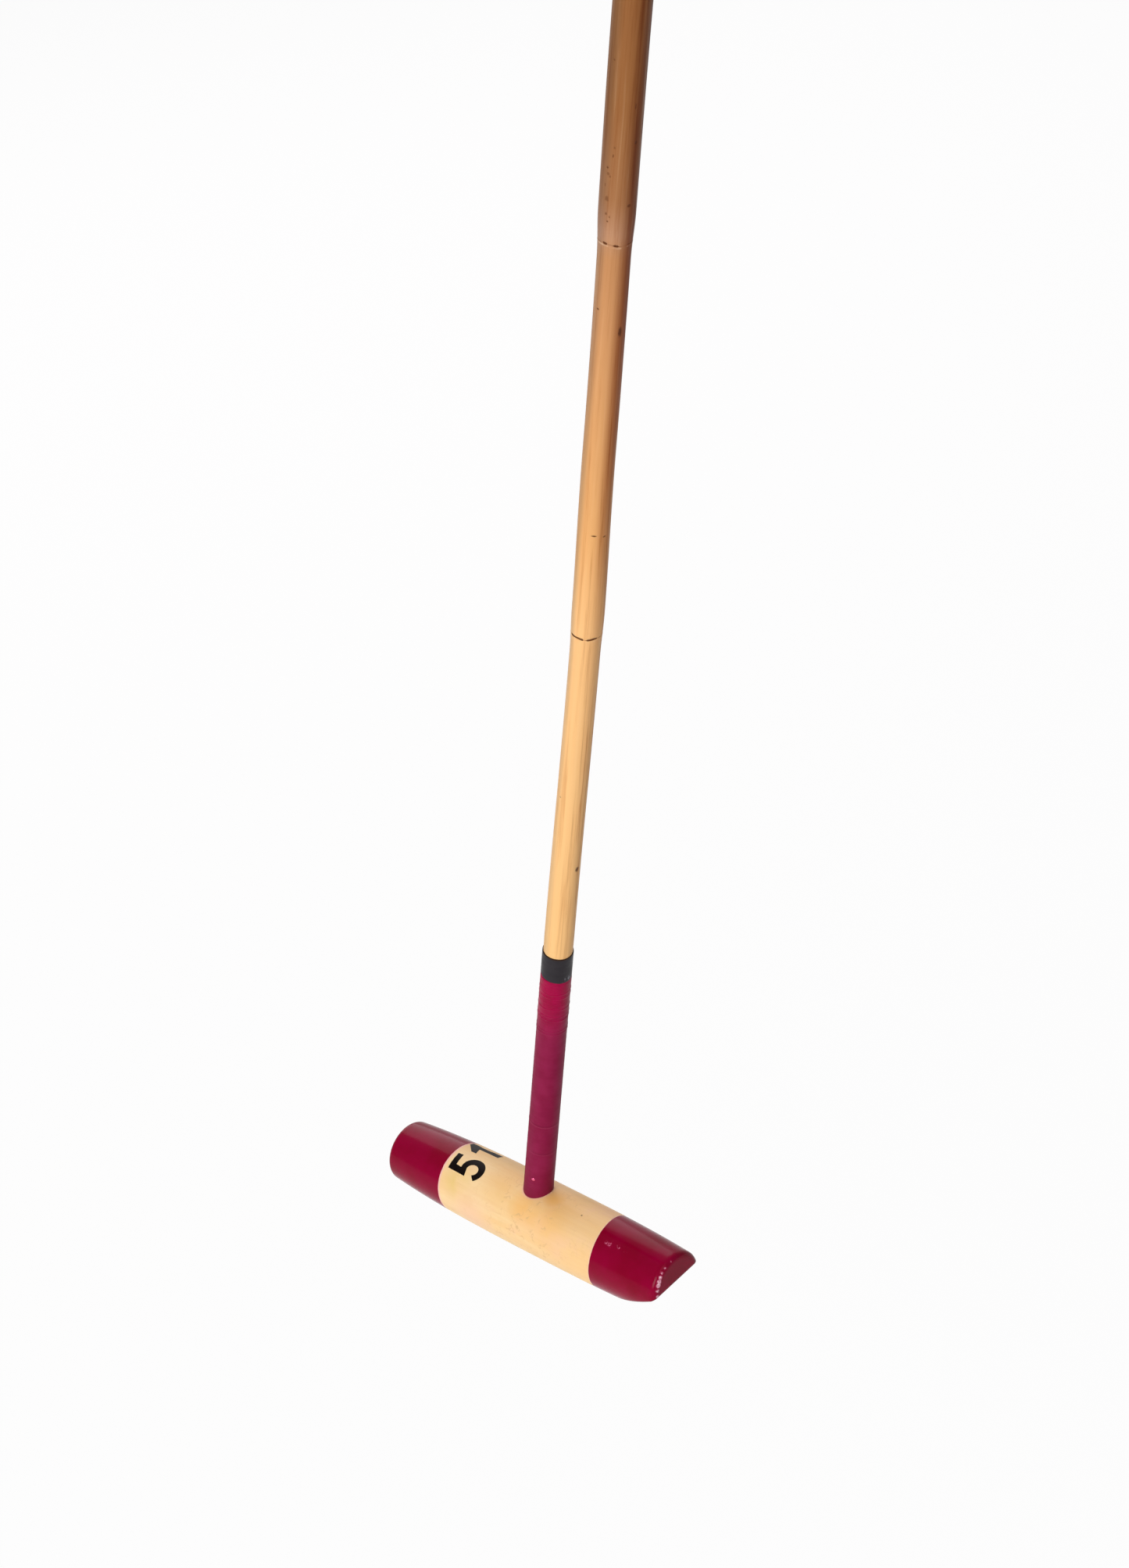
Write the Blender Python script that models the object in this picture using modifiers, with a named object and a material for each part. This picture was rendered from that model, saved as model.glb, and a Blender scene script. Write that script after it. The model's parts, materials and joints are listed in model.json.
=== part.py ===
"""A polo mallet: a bored and bevelled wooden head on a leaning cane shaft, with a bound neck,
a built-up grip and a webbing hand sling.

Metres, +Z up. The head lies level along X with its bevelled heel at +X, and the shaft leans
towards the heel in the XZ plane. The origin is the middle of the grip, where a hand holds it.
Distances called up the shaft are measured along it from the head's axis.
"""

import math

import bmesh
import bpy
from mathutils import Matrix, Vector

# Clearances
GAP = 0.0003  # left between pieces that touch

# Head, turned about X; its lengths are measured from the shaft's axis
HEAD_DIAMETER = 0.0476
BELLY_OFFSET = 0.025  # the fullest place lies this far towards the heel
TOE_LENGTH = 0.1119
TOE_DIAMETER = 0.0391
TOE_FULLNESS = 3.3  # higher keeps the head full for longer before it narrows
TOE_ROUNDING = 0.0034
HEEL_LENGTH = 0.1169
HEEL_DIAMETER = 0.0425
HEEL_FULLNESS = 2.6
HEEL_ROUNDING = 0.0037
BEVEL_OFFSET = 0.111  # where the bevel's plane crosses the head's axis
BEVEL_ANGLE = math.radians(27.2)  # between the bevel and the head's axis
BEVEL_ROLL = math.radians(4.4)

# Cane shaft
SHAFT_LEAN = math.radians(12.5)
MALLET_LENGTH = 1.2954  # up the shaft from under the head to the butt
FOOT_DIAMETER = 0.0162
FOOT_TOP = 0.195
FOOT_TAPER = 0.050
NODE_BELOW = 0.010  # a cane thickens from here below each of its nodes
NODE_ABOVE = 0.019  # to here above it
NODE_GROOVE = 0.00022
NODE_GROOVE_WIDTH = 0.0016
# Each internode of the cane: where it starts, its diameter there and where it ends
INTERNODES = (
    (0.212, 0.01745, 0.01685),
    (0.470, 0.01795, 0.01715),
    (0.728, 0.01905, 0.01955),
    (0.986, 0.02000, 0.02000),
)
# The cane's own slight bends: up the shaft, and across it towards the heel
BENDS = ((0.235, 0.0), (0.470, 0.0015), (0.600, -0.0001), (0.866, -0.0023))
STRAIGHT_BELOW_GRIP = 0.008
SHAVED_DIAMETER = 0.018  # inside the grip

# Wedge in the foot
WEDGE_LENGTH = 0.026
WEDGE_WIDTH = 0.0148
WEDGE_THICK = 0.0030
WEDGE_THIN = 0.0010
WEDGE_TIP = 0.001  # up the shaft
SAWN_OFF = 0.006  # the foot and wedge start this far below the head and are sawn flush

# Neck
TAPE_BOTTOM = 0.212
TAPE_WIDTH = 0.019
TAPE_THICKNESS = 0.0005
BINDING_FOOT_THICKNESS = 0.00095
BINDING_TOP_THICKNESS = 0.00070
NECK_TACK_UP = 0.0408
NECK_TACK_TURN = math.radians(-73.7)  # round the shaft from the heel side
NECK_TACK_HEAD = 0.0012
NECK_TACK_SHANK = 0.0005
NECK_TACK_LENGTH = 0.0045

# Grip: two scales round the cane, a rounded oblong in section
GRIP_LENGTH = 0.2497
GRIP_ALONG = 0.030  # across the grip, along the head
GRIP_ACROSS = 0.026
GRIP_CORNER = 0.005
GRIP_FOOT = 0.0222  # the scales start as a round of this diameter
GRIP_FOOT_LENGTH = 0.020
FLARE_LENGTH = 0.022
FLARE_GROWTH = 0.004  # on each side
FOOT_BAND_MARGIN = 0.002
FOOT_BAND_THICKNESS = 0.0015
WINDING_WIDTH = 0.0196
WINDING_THICKNESS = 0.0016
WINDING_PITCH = 0.021
WINDING_MARGIN = 0.0025  # left at each end

# Hand sling
SLING_WIDTH = 0.0158
SLING_THICKNESS = 0.0018
SLING_BAND_DROP = 0.0717  # from the grip's top to the band's bottom
SLING_BAND_HEIGHT = 0.031
SLING_BAND_THICKNESS = 0.002
SLING_TACK_INSET = 0.0075  # from the band's edges
SLING_TACK_HEAD = 0.0035
SLING_TACK_SHANK = 0.0012
SLING_TACK_LENGTH = 0.0115
HINGE_RISE = 0.013  # above the band
HINGE_STAND = 0.0085  # out from the grip's side
ANCHOR_BEND = 0.0046
LOOP_LENGTH = 0.272
LOOP_OPENING = 0.040

# Butt
BUTT_CAP_THICKNESS = 0.003
BUTT_CAP_OVERHANG = 0.0005
BUTT_TACK_HEAD = 0.005
BUTT_TACK_SHANK = 0.0012
BUTT_TACK_LENGTH = 0.014

# Tacks
TACK_DOME = 0.45  # height of every tack's head, as a share of its radius

# Facets
HEAD_SIDES = 64
CANE_RESOLUTION = 10
CANE_STEP = 0.025  # between rings where the cane runs plain
SLEEVE_SIDES = 48
SMALL_SIDES = 24
CORNER_STEPS = 4

# Places worked out from the sizes above
HEAD_RADIUS = HEAD_DIAMETER / 2
UNDER_HEAD = HEAD_RADIUS / math.cos(SHAFT_LEAN)
BUTT = MALLET_LENGTH - UNDER_HEAD
CAP_BOTTOM = BUTT - BUTT_CAP_THICKNESS
GRIP_TOP = CAP_BOTTOM - GAP
GRIP_BOTTOM = GRIP_TOP - GRIP_LENGTH
TAPE_TOP = TAPE_BOTTOM + TAPE_WIDTH
SLING_BAND_BOTTOM = GRIP_TOP - SLING_BAND_DROP
SLING_BAND_TOP = SLING_BAND_BOTTOM + SLING_BAND_HEIGHT
SLING_TACKS = (SLING_BAND_BOTTOM + SLING_TACK_INSET, SLING_BAND_TOP - SLING_TACK_INSET)
HINGE_UP = SLING_BAND_TOP + HINGE_RISE
HINGE_OUT = GRIP_ALONG / 2 + HINGE_STAND
WINDING_BOTTOM = GRIP_BOTTOM + GRIP_FOOT_LENGTH + WINDING_MARGIN
WINDING_TOP = SLING_BAND_BOTTOM - WINDING_MARGIN
WINDING_TURNS = (WINDING_TOP - WINDING_BOTTOM - WINDING_WIDTH) / WINDING_PITCH
HAND = (WINDING_BOTTOM + WINDING_TOP) / 2
ANCHOR_OUT = GRIP_ALONG / 2 - SLING_THICKNESS  # centre of the doubled webbing in its pocket
FAR = 0.1  # past everything that a cutter has to clear


def material(name, colour, roughness, metallic=0.0):
    """A plain Principled material."""
    made = bpy.data.materials.new(name)
    made.use_nodes = True
    shader = made.node_tree.nodes["Principled BSDF"]
    shader.inputs["Base Color"].default_value = (*colour, 1.0)
    shader.inputs["Roughness"].default_value = roughness
    shader.inputs["Metallic"].default_value = metallic
    return made


def put(made, collection, parent, finish=None, location=(0, 0, 0)):
    """Moves an object into its collection, under its empty, with its material."""
    for holder in list(made.users_collection):
        holder.objects.unlink(made)
    collection.objects.link(made)
    made.parent = parent
    made.location = location
    if finish:
        made.data.materials.clear()
        made.data.materials.append(finish)
    return made


def as_cutter(made):
    """Marks a helper that only cuts other pieces."""
    made.hide_render = True
    made.display_type = "WIRE"
    return made


def smooth(made, angle=35):
    made.data.shade_smooth()
    made.data.set_sharp_from_angle(angle=math.radians(angle))
    return made


def turned(name, profile, sides, closed=False):
    """A turned piece: (radius, height) points down its outer side, swept about its own Z."""
    mesh = bpy.data.meshes.new(name)
    points = [(radius, 0, height) for radius, height in profile]
    edges = [(i, i + 1) for i in range(len(points) - 1)]
    if closed:
        edges.append((len(points) - 1, 0))
    mesh.from_pydata(points, edges, [])
    made = bpy.data.objects.new(name, mesh)
    bpy.context.scene.collection.objects.link(made)
    screw = made.modifiers.new("turn", "SCREW")
    screw.axis = "Z"
    screw.steps = sides
    screw.render_steps = sides
    screw.use_smooth_shade = True
    screw.use_merge_vertices = True
    screw.merge_threshold = 0.00001
    return made


def sleeve(name, bottom, top, inner, outer_bottom, outer_top, sides=SLEEVE_SIDES):
    """A round sleeve up the shaft whose outside may taper."""
    profile = [(outer_top, top), (outer_bottom, bottom), (inner, bottom), (inner, top)]
    return turned(name, profile, sides, closed=True)


def oblong(half_x, half_y, corner, steps=CORNER_STEPS):
    """Points round a rounded oblong, anticlockwise from its +X side."""
    points = []
    for quarter in range(4):
        across = (half_x - corner) * (1, -1, -1, 1)[quarter]
        along = (half_y - corner) * (1, 1, -1, -1)[quarter]
        for step in range(steps + 1):
            angle = math.radians(90 * (quarter + step / steps))
            points.append((across + corner * math.cos(angle), along + corner * math.sin(angle)))
    return points


def loft(name, sections, capped=True):
    """A skin through oblong sections, each (height, half_x, half_y, corner), bottom to top."""
    mesh = bpy.data.meshes.new(name)
    build = bmesh.new()
    rings = []
    for height, half_x, half_y, corner in sections:
        rings.append([build.verts.new((x, y, height)) for x, y in oblong(half_x, half_y, corner)])
    for lower, upper in zip(rings, rings[1:]):
        for i in range(len(lower)):
            j = (i + 1) % len(lower)
            build.faces.new((lower[i], lower[j], upper[j], upper[i]))
    if capped:
        build.faces.new(reversed(rings[0]))
        build.faces.new(rings[-1])
    build.to_mesh(mesh)
    build.free()
    made = bpy.data.objects.new(name, mesh)
    bpy.context.scene.collection.objects.link(made)
    return made


def flat_outline(name, outlines, width):
    """Closed outlines in the local XZ plane, given a width along Y; an inner one is a hole."""
    curve = bpy.data.curves.new(name, "CURVE")
    curve.dimensions = "2D"
    curve.fill_mode = "BOTH"
    curve.extrude = width / 2
    for outline in outlines:
        spline = curve.splines.new("POLY")
        spline.points.add(len(outline) - 1)
        for point, (x, z) in zip(spline.points, outline):
            point.co = (x, z, 0, 1)
        spline.use_cyclic_u = True
    made = bpy.data.objects.new(name, curve)
    bpy.context.scene.collection.objects.link(made)
    made.rotation_euler = (math.radians(90), 0, 0)
    return made


def to_mesh(made):
    """Turns a curve object into a welded mesh object of the same name, in the same place."""
    bpy.context.view_layer.update()
    graph = bpy.context.evaluated_depsgraph_get()
    mesh = bpy.data.meshes.new_from_object(made.evaluated_get(graph))
    build = bmesh.new()
    build.from_mesh(mesh)
    bmesh.ops.remove_doubles(build, verts=build.verts, dist=0.00001)
    bmesh.ops.recalc_face_normals(build, faces=build.faces)
    build.transform(made.matrix_world)
    build.to_mesh(mesh)
    build.free()
    name = made.name
    bpy.data.objects.remove(made)
    meshed = bpy.data.objects.new(name, mesh)
    bpy.context.scene.collection.objects.link(meshed)
    return meshed


def box(name, low, high):
    """A box between two corners."""
    bpy.ops.mesh.primitive_cube_add(size=1)
    made = bpy.context.object
    made.name = name
    low, high = Vector(low), Vector(high)
    size = Matrix.Diagonal((*(high - low), 1))
    made.data.transform(Matrix.Translation((low + high) / 2) @ size)
    return made


def cut(piece, *cutters):
    """Cuts each cutter's shape out of a piece."""
    for cutter in cutters:
        boolean = piece.modifiers.new(cutter.name, "BOOLEAN")
        boolean.operation = "DIFFERENCE"
        boolean.object = cutter
    return piece


def ease(share):
    """0 to 1 with a soft start and a soft end."""
    return (1 - math.cos(math.pi * min(max(share, 0), 1))) / 2


def head_radius(x):
    """The head's radius at x: fullest at its belly, narrower towards each end."""
    if x < BELLY_OFFSET:
        share = (BELLY_OFFSET - x) / (BELLY_OFFSET + TOE_LENGTH)
        return HEAD_RADIUS - (HEAD_DIAMETER - TOE_DIAMETER) / 2 * share**TOE_FULLNESS
    share = (x - BELLY_OFFSET) / (HEEL_LENGTH - BELLY_OFFSET)
    return HEAD_RADIUS - (HEAD_DIAMETER - HEEL_DIAMETER) / 2 * share**HEEL_FULLNESS


def head_profile(grown=0.0, body_steps=22, rim_steps=4):
    """Radius and x down the head's side, from the heel's centre to the toe's."""
    profile = [(0, HEEL_LENGTH + grown)]
    heel = HEEL_LENGTH - HEEL_ROUNDING
    toe = -TOE_LENGTH + TOE_ROUNDING
    for step in range(rim_steps):
        angle = math.pi / 2 * step / rim_steps
        out = head_radius(heel) - HEEL_ROUNDING
        reach = HEEL_ROUNDING + grown
        profile.append((out + reach * math.sin(angle), heel + reach * math.cos(angle)))
    for step in range(body_steps + 1):
        x = heel + (toe - heel) * step / body_steps
        profile.append((head_radius(x) + grown, x))
    for step in range(1, rim_steps + 1):
        angle = math.pi / 2 * step / rim_steps
        out = head_radius(toe) - TOE_ROUNDING
        reach = TOE_ROUNDING + grown
        profile.append((out + reach * math.cos(angle), toe - reach * math.sin(angle)))
    profile.append((0, -TOE_LENGTH - grown))
    return profile


def cane_radius(up):
    """The cane's radius up the shaft: nodes, slow thinning between them, and both ends."""
    if up > GRIP_BOTTOM - GAP:
        return SHAVED_DIAMETER / 2
    diameter = INTERNODES[0][1]
    for i, (start, first, last) in enumerate(INTERNODES):
        if up < start - NODE_BELOW:
            break
        before = INTERNODES[i - 1][2] if i else first
        end = INTERNODES[i + 1][0] if i + 1 < len(INTERNODES) else GRIP_BOTTOM
        along = (up - start - NODE_ABOVE) / (end - NODE_BELOW - start - NODE_ABOVE)
        thinned = first + (last - first) * math.sin(math.pi / 2 * min(max(along, 0), 1))
        swell = ease((up - start + NODE_BELOW) / (NODE_BELOW + NODE_ABOVE))
        diameter = before + (thinned - before) * swell
    foot = ease((up - FOOT_TOP) / FOOT_TAPER)
    return (FOOT_DIAMETER + (diameter - FOOT_DIAMETER) * foot) / 2


def cane_bend(up):
    """How far the cane's centre strays across the shaft, towards the heel."""
    bends = [*BENDS, (GRIP_BOTTOM - STRAIGHT_BELOW_GRIP, 0.0)]
    if up <= bends[0][0] or up >= bends[-1][0]:
        return 0.0
    for (low, first), (high, last) in zip(bends, bends[1:]):
        if up <= high:
            break
    return first + (last - first) * ease((up - low) / (high - low))


def cane_stations():
    """Places up the shaft for the cane's rings: close together where it changes."""
    stations = {-UNDER_HEAD - SAWN_OFF, 0.0, FOOT_TOP / 2, TAPE_BOTTOM, TAPE_TOP}
    stations.update(FOOT_TOP + FOOT_TAPER * step / 8 for step in range(9))
    for start, _, _ in INTERNODES[1:]:
        swell = NODE_BELOW + NODE_ABOVE
        stations.update(start - NODE_BELOW + swell * step / 8 for step in range(9))
        stations.update(start + NODE_GROOVE_WIDTH * side for side in (-0.5, 0, 0.5))
    steps = round((GRIP_BOTTOM - FOOT_TOP) / CANE_STEP)
    for step in range(1, steps):
        place = FOOT_TOP + CANE_STEP * step
        if min(abs(place - known) for known in stations) > CANE_STEP / 4:
            stations.add(place)
    stations.update((GRIP_BOTTOM - 2 * GAP, GRIP_BOTTOM - GAP / 2, GRIP_TOP))
    return sorted(stations)


def cane_curve():
    """The cane as a curve with its own radius at each ring."""
    curve = bpy.data.curves.new("cane_shaft", "CURVE")
    curve.dimensions = "3D"
    curve.bevel_depth = SHAVED_DIAMETER / 2
    curve.bevel_resolution = CANE_RESOLUTION
    curve.use_fill_caps = True
    spline = curve.splines.new("POLY")
    stations = cane_stations()
    spline.points.add(len(stations) - 1)
    grooves = [start for start, _, _ in INTERNODES[1:]]
    for point, up in zip(spline.points, stations):
        radius = cane_radius(up) - (NODE_GROOVE if up in grooves else 0)
        point.co = (cane_bend(up), 0, up, 1)
        point.radius = radius / curve.bevel_depth
    made = bpy.data.objects.new("cane_shaft", curve)
    bpy.context.scene.collection.objects.link(made)
    return made


def tack(name, head, shank, length):
    """A domed tack standing on its own XY plane, head up and shank down."""
    dome = head * TACK_DOME
    profile = [(0, dome)]
    for step in range(1, 6):
        angle = math.pi / 2 * step / 5
        profile.append((head * math.sin(angle), dome * math.cos(angle)))
    profile += [(shank, 0), (shank, -length + shank * 2), (0, -length)]
    return turned(name, profile, SMALL_SIDES)


def tack_hole(name, shank, length):
    """The hole that a tack needs, open past its head."""
    reach = 2 * GAP
    profile = [(0, reach), (shank + GAP, reach), (shank + GAP, -length - GAP), (0, -length - GAP)]
    return as_cutter(turned(name, profile, SMALL_SIDES))


def core_at(up):
    """Half sizes and corner of the grip's core at a place up the shaft."""
    foot = min(max((up - GRIP_BOTTOM) / GRIP_FOOT_LENGTH, 0), 1)
    flare = min(max((up - GRIP_TOP + FLARE_LENGTH) / FLARE_LENGTH, 0), 1) * FLARE_GROWTH
    round_half = GRIP_FOOT / 2
    half_x = round_half + (GRIP_ALONG / 2 - round_half) * foot + flare
    half_y = round_half + (GRIP_ACROSS / 2 - round_half) * foot + flare
    corner = round_half * 0.99 + (GRIP_CORNER - round_half * 0.99) * foot + flare
    return half_x, half_y, corner


def core_section(up, grown=0.0):
    half_x, half_y, corner = core_at(up)
    return up, half_x + grown, half_y + grown, corner + grown


def winding_path():
    """Centre points of the grip's winding: round the core's oblong, climbing evenly."""
    grown = GAP + WINDING_THICKNESS / 2
    _, half_x, half_y, corner = core_section(WINDING_BOTTOM, grown)
    outline = oblong(half_x, half_y, corner)
    around = [0.0]
    for i in range(len(outline)):
        step = math.dist(outline[i], outline[(i + 1) % len(outline)])
        around.append(around[-1] + step)
    points = []
    for i in range(round(WINDING_TURNS * len(outline)) + 1):
        turn, place = divmod(i, len(outline))
        climb = (turn + around[place] / around[-1]) * WINDING_PITCH
        x, y = outline[place]
        points.append(Vector((x, y, WINDING_BOTTOM + WINDING_WIDTH / 2 + climb)))
    return points, len(outline)


def winding_gap(points, turn):
    """The least room between one turn's upper edge and the next turn's lower edge."""
    edges = []
    for i, point in enumerate(points):
        along = (points[min(i + 1, len(points) - 1)] - points[max(i - 1, 0)]).normalized()
        out = Vector((0, 0, 1)).cross(along).normalized()
        rise = along.cross(out) * WINDING_WIDTH / 2
        edges.append((point - rise, point + rise) if rise.z > 0 else (point + rise, point - rise))
    near = []
    for i in range(len(edges)):
        for j in range(i + turn - 3, min(i + turn + 4, len(edges))):
            near.append((edges[j][0] - edges[i][1]).length)
    return min(near)


def loop_outline():
    """Outer and inner edges of the hanging loop, below its hinge at the origin."""
    half = SLING_THICKNESS / 2
    widest = 0.6495  # of sin(t) * sin(t / 2) ** 2, at a third of a turn from the bottom
    middle = LOOP_LENGTH - half
    swing = (LOOP_OPENING / 2 + half) / widest
    outer, inner = [], []
    steps = 60
    for step in range(1, steps):
        t = 2 * math.pi * step / steps
        x = swing * math.sin(t) * math.sin(t / 2) ** 2
        z = -middle * (1 - math.cos(t)) / 2
        run = swing * (math.cos(t) * math.sin(t / 2) ** 2 + math.sin(t) ** 2 / 2)
        fall = -middle * math.sin(t) / 2
        size = math.hypot(run, fall)
        out = Vector((-fall, run)) / size * half
        side = 1 if x > 0 else -1
        if abs(x + out.x) < SLING_THICKNESS and z > -middle / 2:
            outer.append((side * SLING_THICKNESS, z))
        else:
            outer.append((x + out.x, z + out.y))
        if z < -middle / 2 or abs(x) > half * 1.6:
            inner.append((x - out.x, z - out.y))
    for step in range(9):
        angle = math.pi * (1 + step / 8)
        outer.append((SLING_THICKNESS * math.cos(angle), -SLING_THICKNESS * math.sin(angle)))
    return outer, inner


def anchor_outline():
    """The doubled webbing: up in its pocket, then bent out to just short of the hinge."""
    low = SLING_BAND_BOTTOM + 2 * GAP
    out = HINGE_OUT - SLING_THICKNESS - GAP
    right, left = [], []
    for side, edge in ((SLING_THICKNESS, right), (-SLING_THICKNESS, left)):
        edge.append((ANCHOR_OUT + side, low))
        for step in range(7):
            angle = math.pi / 2 * step / 6
            radius = ANCHOR_BEND - side
            x = ANCHOR_OUT + ANCHOR_BEND - radius * math.cos(angle)
            z = HINGE_UP - ANCHOR_BEND + radius * math.sin(angle)
            edge.append((x, z))
        edge.append((out, HINGE_UP - side))
    return right + left[::-1]


def clear_scene():
    for old in list(bpy.data.objects):
        bpy.data.objects.remove(old)


def empty(name, collection, location, rotation=(0, 0, 0)):
    made = bpy.data.objects.new(name, None)
    made.empty_display_size = 0.03
    made.location = location
    made.rotation_euler = rotation
    collection.objects.link(made)
    return made


def build_head(parts, cutters, frame, shaft, finish):
    """The turned head, sliced to its bevel and bored for the cane. Returns its clear shape."""
    head = turned("mallet_head", head_profile(), HEAD_SIDES)
    put(head, parts, frame, finish["gloss paint"])
    head.rotation_euler = (0, math.radians(90), 0)

    slope = math.cos(BEVEL_ANGLE)
    normal = Vector(
        (math.sin(BEVEL_ANGLE), slope * math.sin(BEVEL_ROLL), -slope * math.cos(BEVEL_ROLL))
    )
    slab = box("bevel_cutter", (-FAR, -FAR, 0), (FAR, FAR, FAR))
    put(slab, cutters, frame, location=(BEVEL_OFFSET, 0, 0))
    slab.rotation_euler = normal.to_track_quat("Z", "Y").to_euler()

    bore_radius = FOOT_DIAMETER / 2 + GAP
    profile = [(0, FAR / 2), (bore_radius, FAR / 2), (bore_radius, -FAR / 2), (0, -FAR / 2)]
    bore = put(turned("bore_cutter", profile, SLEEVE_SIDES), cutters, shaft)
    cut(head, as_cutter(slab), as_cutter(bore))

    clear = turned("head_clearance", head_profile(grown=GAP), HEAD_SIDES)
    put(clear, cutters, frame)
    clear.rotation_euler = head.rotation_euler
    return as_cutter(clear)


def build_foot(parts, cutters, frame, shaft, finish):
    """The wedge, its kerf, and the shape that saws the foot off flush under the head."""
    saw = box("under_head", (-FAR, -FAR, -FAR), (FAR, FAR, 0))
    put(saw, cutters, frame)
    keep = turned("head_outline", head_profile(), HEAD_SIDES)
    put(keep, cutters, frame)
    keep.rotation_euler = (0, math.radians(90), 0)
    cut(saw, as_cutter(keep))
    as_cutter(saw)

    slope = (WEDGE_THICK - WEDGE_THIN) / 2 / WEDGE_LENGTH
    low = -UNDER_HEAD - SAWN_OFF
    thick = WEDGE_THIN / 2 + slope * (WEDGE_TIP - low)
    thin = WEDGE_THIN / 2
    sides = [(-thick, low), (thick, low), (thin, WEDGE_TIP), (-thin, WEDGE_TIP)]
    wedge = to_mesh(flat_outline("foot_wedge", [sides], WEDGE_WIDTH))
    put(wedge, parts, shaft, finish["hardwood"])
    cut(wedge, saw)

    top = WEDGE_TIP + GAP
    sides = [(-thick - GAP, low), (thick + GAP, low), (thin + GAP, top), (-thin - GAP, top)]
    kerf = to_mesh(flat_outline("wedge_kerf", [sides], FAR))
    put(kerf, cutters, shaft)
    return saw, as_cutter(kerf)


def build_neck(parts, cutters, shaft, finish, head_clear):
    """Binding, tape collar and the binding's tack."""
    inner = FOOT_DIAMETER / 2 + GAP
    binding = sleeve(
        "neck_binding",
        0,
        TAPE_BOTTOM - GAP,
        inner,
        inner + BINDING_FOOT_THICKNESS,
        inner + BINDING_TOP_THICKNESS,
    )
    put(binding, parts, shaft, finish["binding"])

    inside = cane_radius(TAPE_TOP) + GAP
    outside = inside + TAPE_THICKNESS
    collar = sleeve("collar_tape", TAPE_BOTTOM, TAPE_TOP, inside, outside, outside)
    put(collar, parts, shaft, finish["black tape"])

    thinning = (BINDING_FOOT_THICKNESS - BINDING_TOP_THICKNESS) * NECK_TACK_UP / TAPE_BOTTOM
    out = inner + BINDING_FOOT_THICKNESS - thinning + GAP
    turn = NECK_TACK_TURN
    place = (out * math.cos(turn), out * math.sin(turn), NECK_TACK_UP)
    pin = tack("binding_tack", NECK_TACK_HEAD, NECK_TACK_SHANK, NECK_TACK_LENGTH)
    put(pin, parts, shaft, finish["copper tack"], place)
    pin.rotation_euler = (0, math.radians(90), turn)
    hole = tack_hole("binding_tack_hole", NECK_TACK_SHANK, NECK_TACK_LENGTH)
    put(hole, cutters, shaft, location=place)
    hole.rotation_euler = pin.rotation_euler
    cut(binding, head_clear, hole)
    return hole


def build_grip(parts, cutters, shaft, finish, pocket, holes):
    """The two scales, the foot band and the winding."""
    bore_radius = SHAVED_DIAMETER / 2 + GAP
    ends = [(0, GRIP_TOP + FAR), (bore_radius, GRIP_TOP + FAR)]
    ends += [(bore_radius, GRIP_BOTTOM - FAR), (0, GRIP_BOTTOM - FAR)]
    bore = as_cutter(put(turned("grip_bore", ends, SLEEVE_SIDES), cutters, shaft))
    heights = (
        GRIP_BOTTOM,
        GRIP_BOTTOM + GRIP_FOOT_LENGTH,
        GRIP_TOP - FLARE_LENGTH,
        GRIP_TOP - FLARE_LENGTH / 2,
        GRIP_TOP,
    )
    for side, name in ((-1, "grip_scale_left"), (1, "grip_scale_right")):
        scale = loft(name, [core_section(up) for up in heights])
        put(scale, parts, shaft, finish["hardwood"])
        seam = side * GAP / 2
        low = (-FAR, min(seam, -side * FAR), GRIP_BOTTOM - FAR)
        high = (FAR, max(seam, -side * FAR), GRIP_TOP + FAR)
        half = as_cutter(put(box(name + "_seam", low, high), cutters, shaft))
        cut(scale, half, bore, pocket, *holes)

    band_bottom = GRIP_BOTTOM + FOOT_BAND_MARGIN
    band_top = GRIP_BOTTOM + GRIP_FOOT_LENGTH
    sections = [core_section(band_bottom, GAP), core_section(band_top, GAP)]
    band = loft("grip_foot_band", sections, capped=False)
    put(band, parts, shaft, finish["black leather"])
    thicken(band, FOOT_BAND_THICKNESS)

    ribbon = bpy.data.curves.new("ribbon_section", "CURVE")
    ribbon.dimensions = "2D"
    spline = ribbon.splines.new("POLY")
    half_width, half_thick = WINDING_WIDTH / 2, WINDING_THICKNESS / 2
    soft = WINDING_THICKNESS / 4
    corners = []
    for x, y in ((1, 1), (-1, 1), (-1, -1), (1, -1)):
        cut_x = (x * (half_thick - soft), y * half_width)
        cut_y = (x * half_thick, y * (half_width - soft))
        corners += [cut_y, cut_x] if x * y > 0 else [cut_x, cut_y]
    spline.points.add(len(corners) - 1)
    for point, (x, y) in zip(spline.points, corners):
        point.co = (x, y, 0, 1)
    spline.use_cyclic_u = True
    section = bpy.data.objects.new("ribbon_section", ribbon)
    as_cutter(put(section, cutters, shaft))

    points, turn = winding_path()
    curve = bpy.data.curves.new("grip_winding", "CURVE")
    curve.dimensions = "3D"
    curve.twist_mode = "Z_UP"
    curve.bevel_mode = "OBJECT"
    curve.bevel_object = section
    curve.use_fill_caps = True
    spline = curve.splines.new("POLY")
    spline.points.add(len(points) - 1)
    for point, place in zip(spline.points, points):
        point.co = (*place, 1)
    winding = bpy.data.objects.new("grip_winding", curve)
    bpy.context.scene.collection.objects.link(winding)
    put(to_mesh(winding), parts, shaft, finish["grip webbing"])
    print(f"least gap of grip_winding to itself: {winding_gap(points, turn) * 1000:.2f} mm")


def thicken(made, thickness):
    """Gives an open sleeve its wall, outwards."""
    wall = made.modifiers.new("wall", "SOLIDIFY")
    wall.thickness = thickness
    wall.offset = 1
    wall.use_even_offset = True


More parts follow.
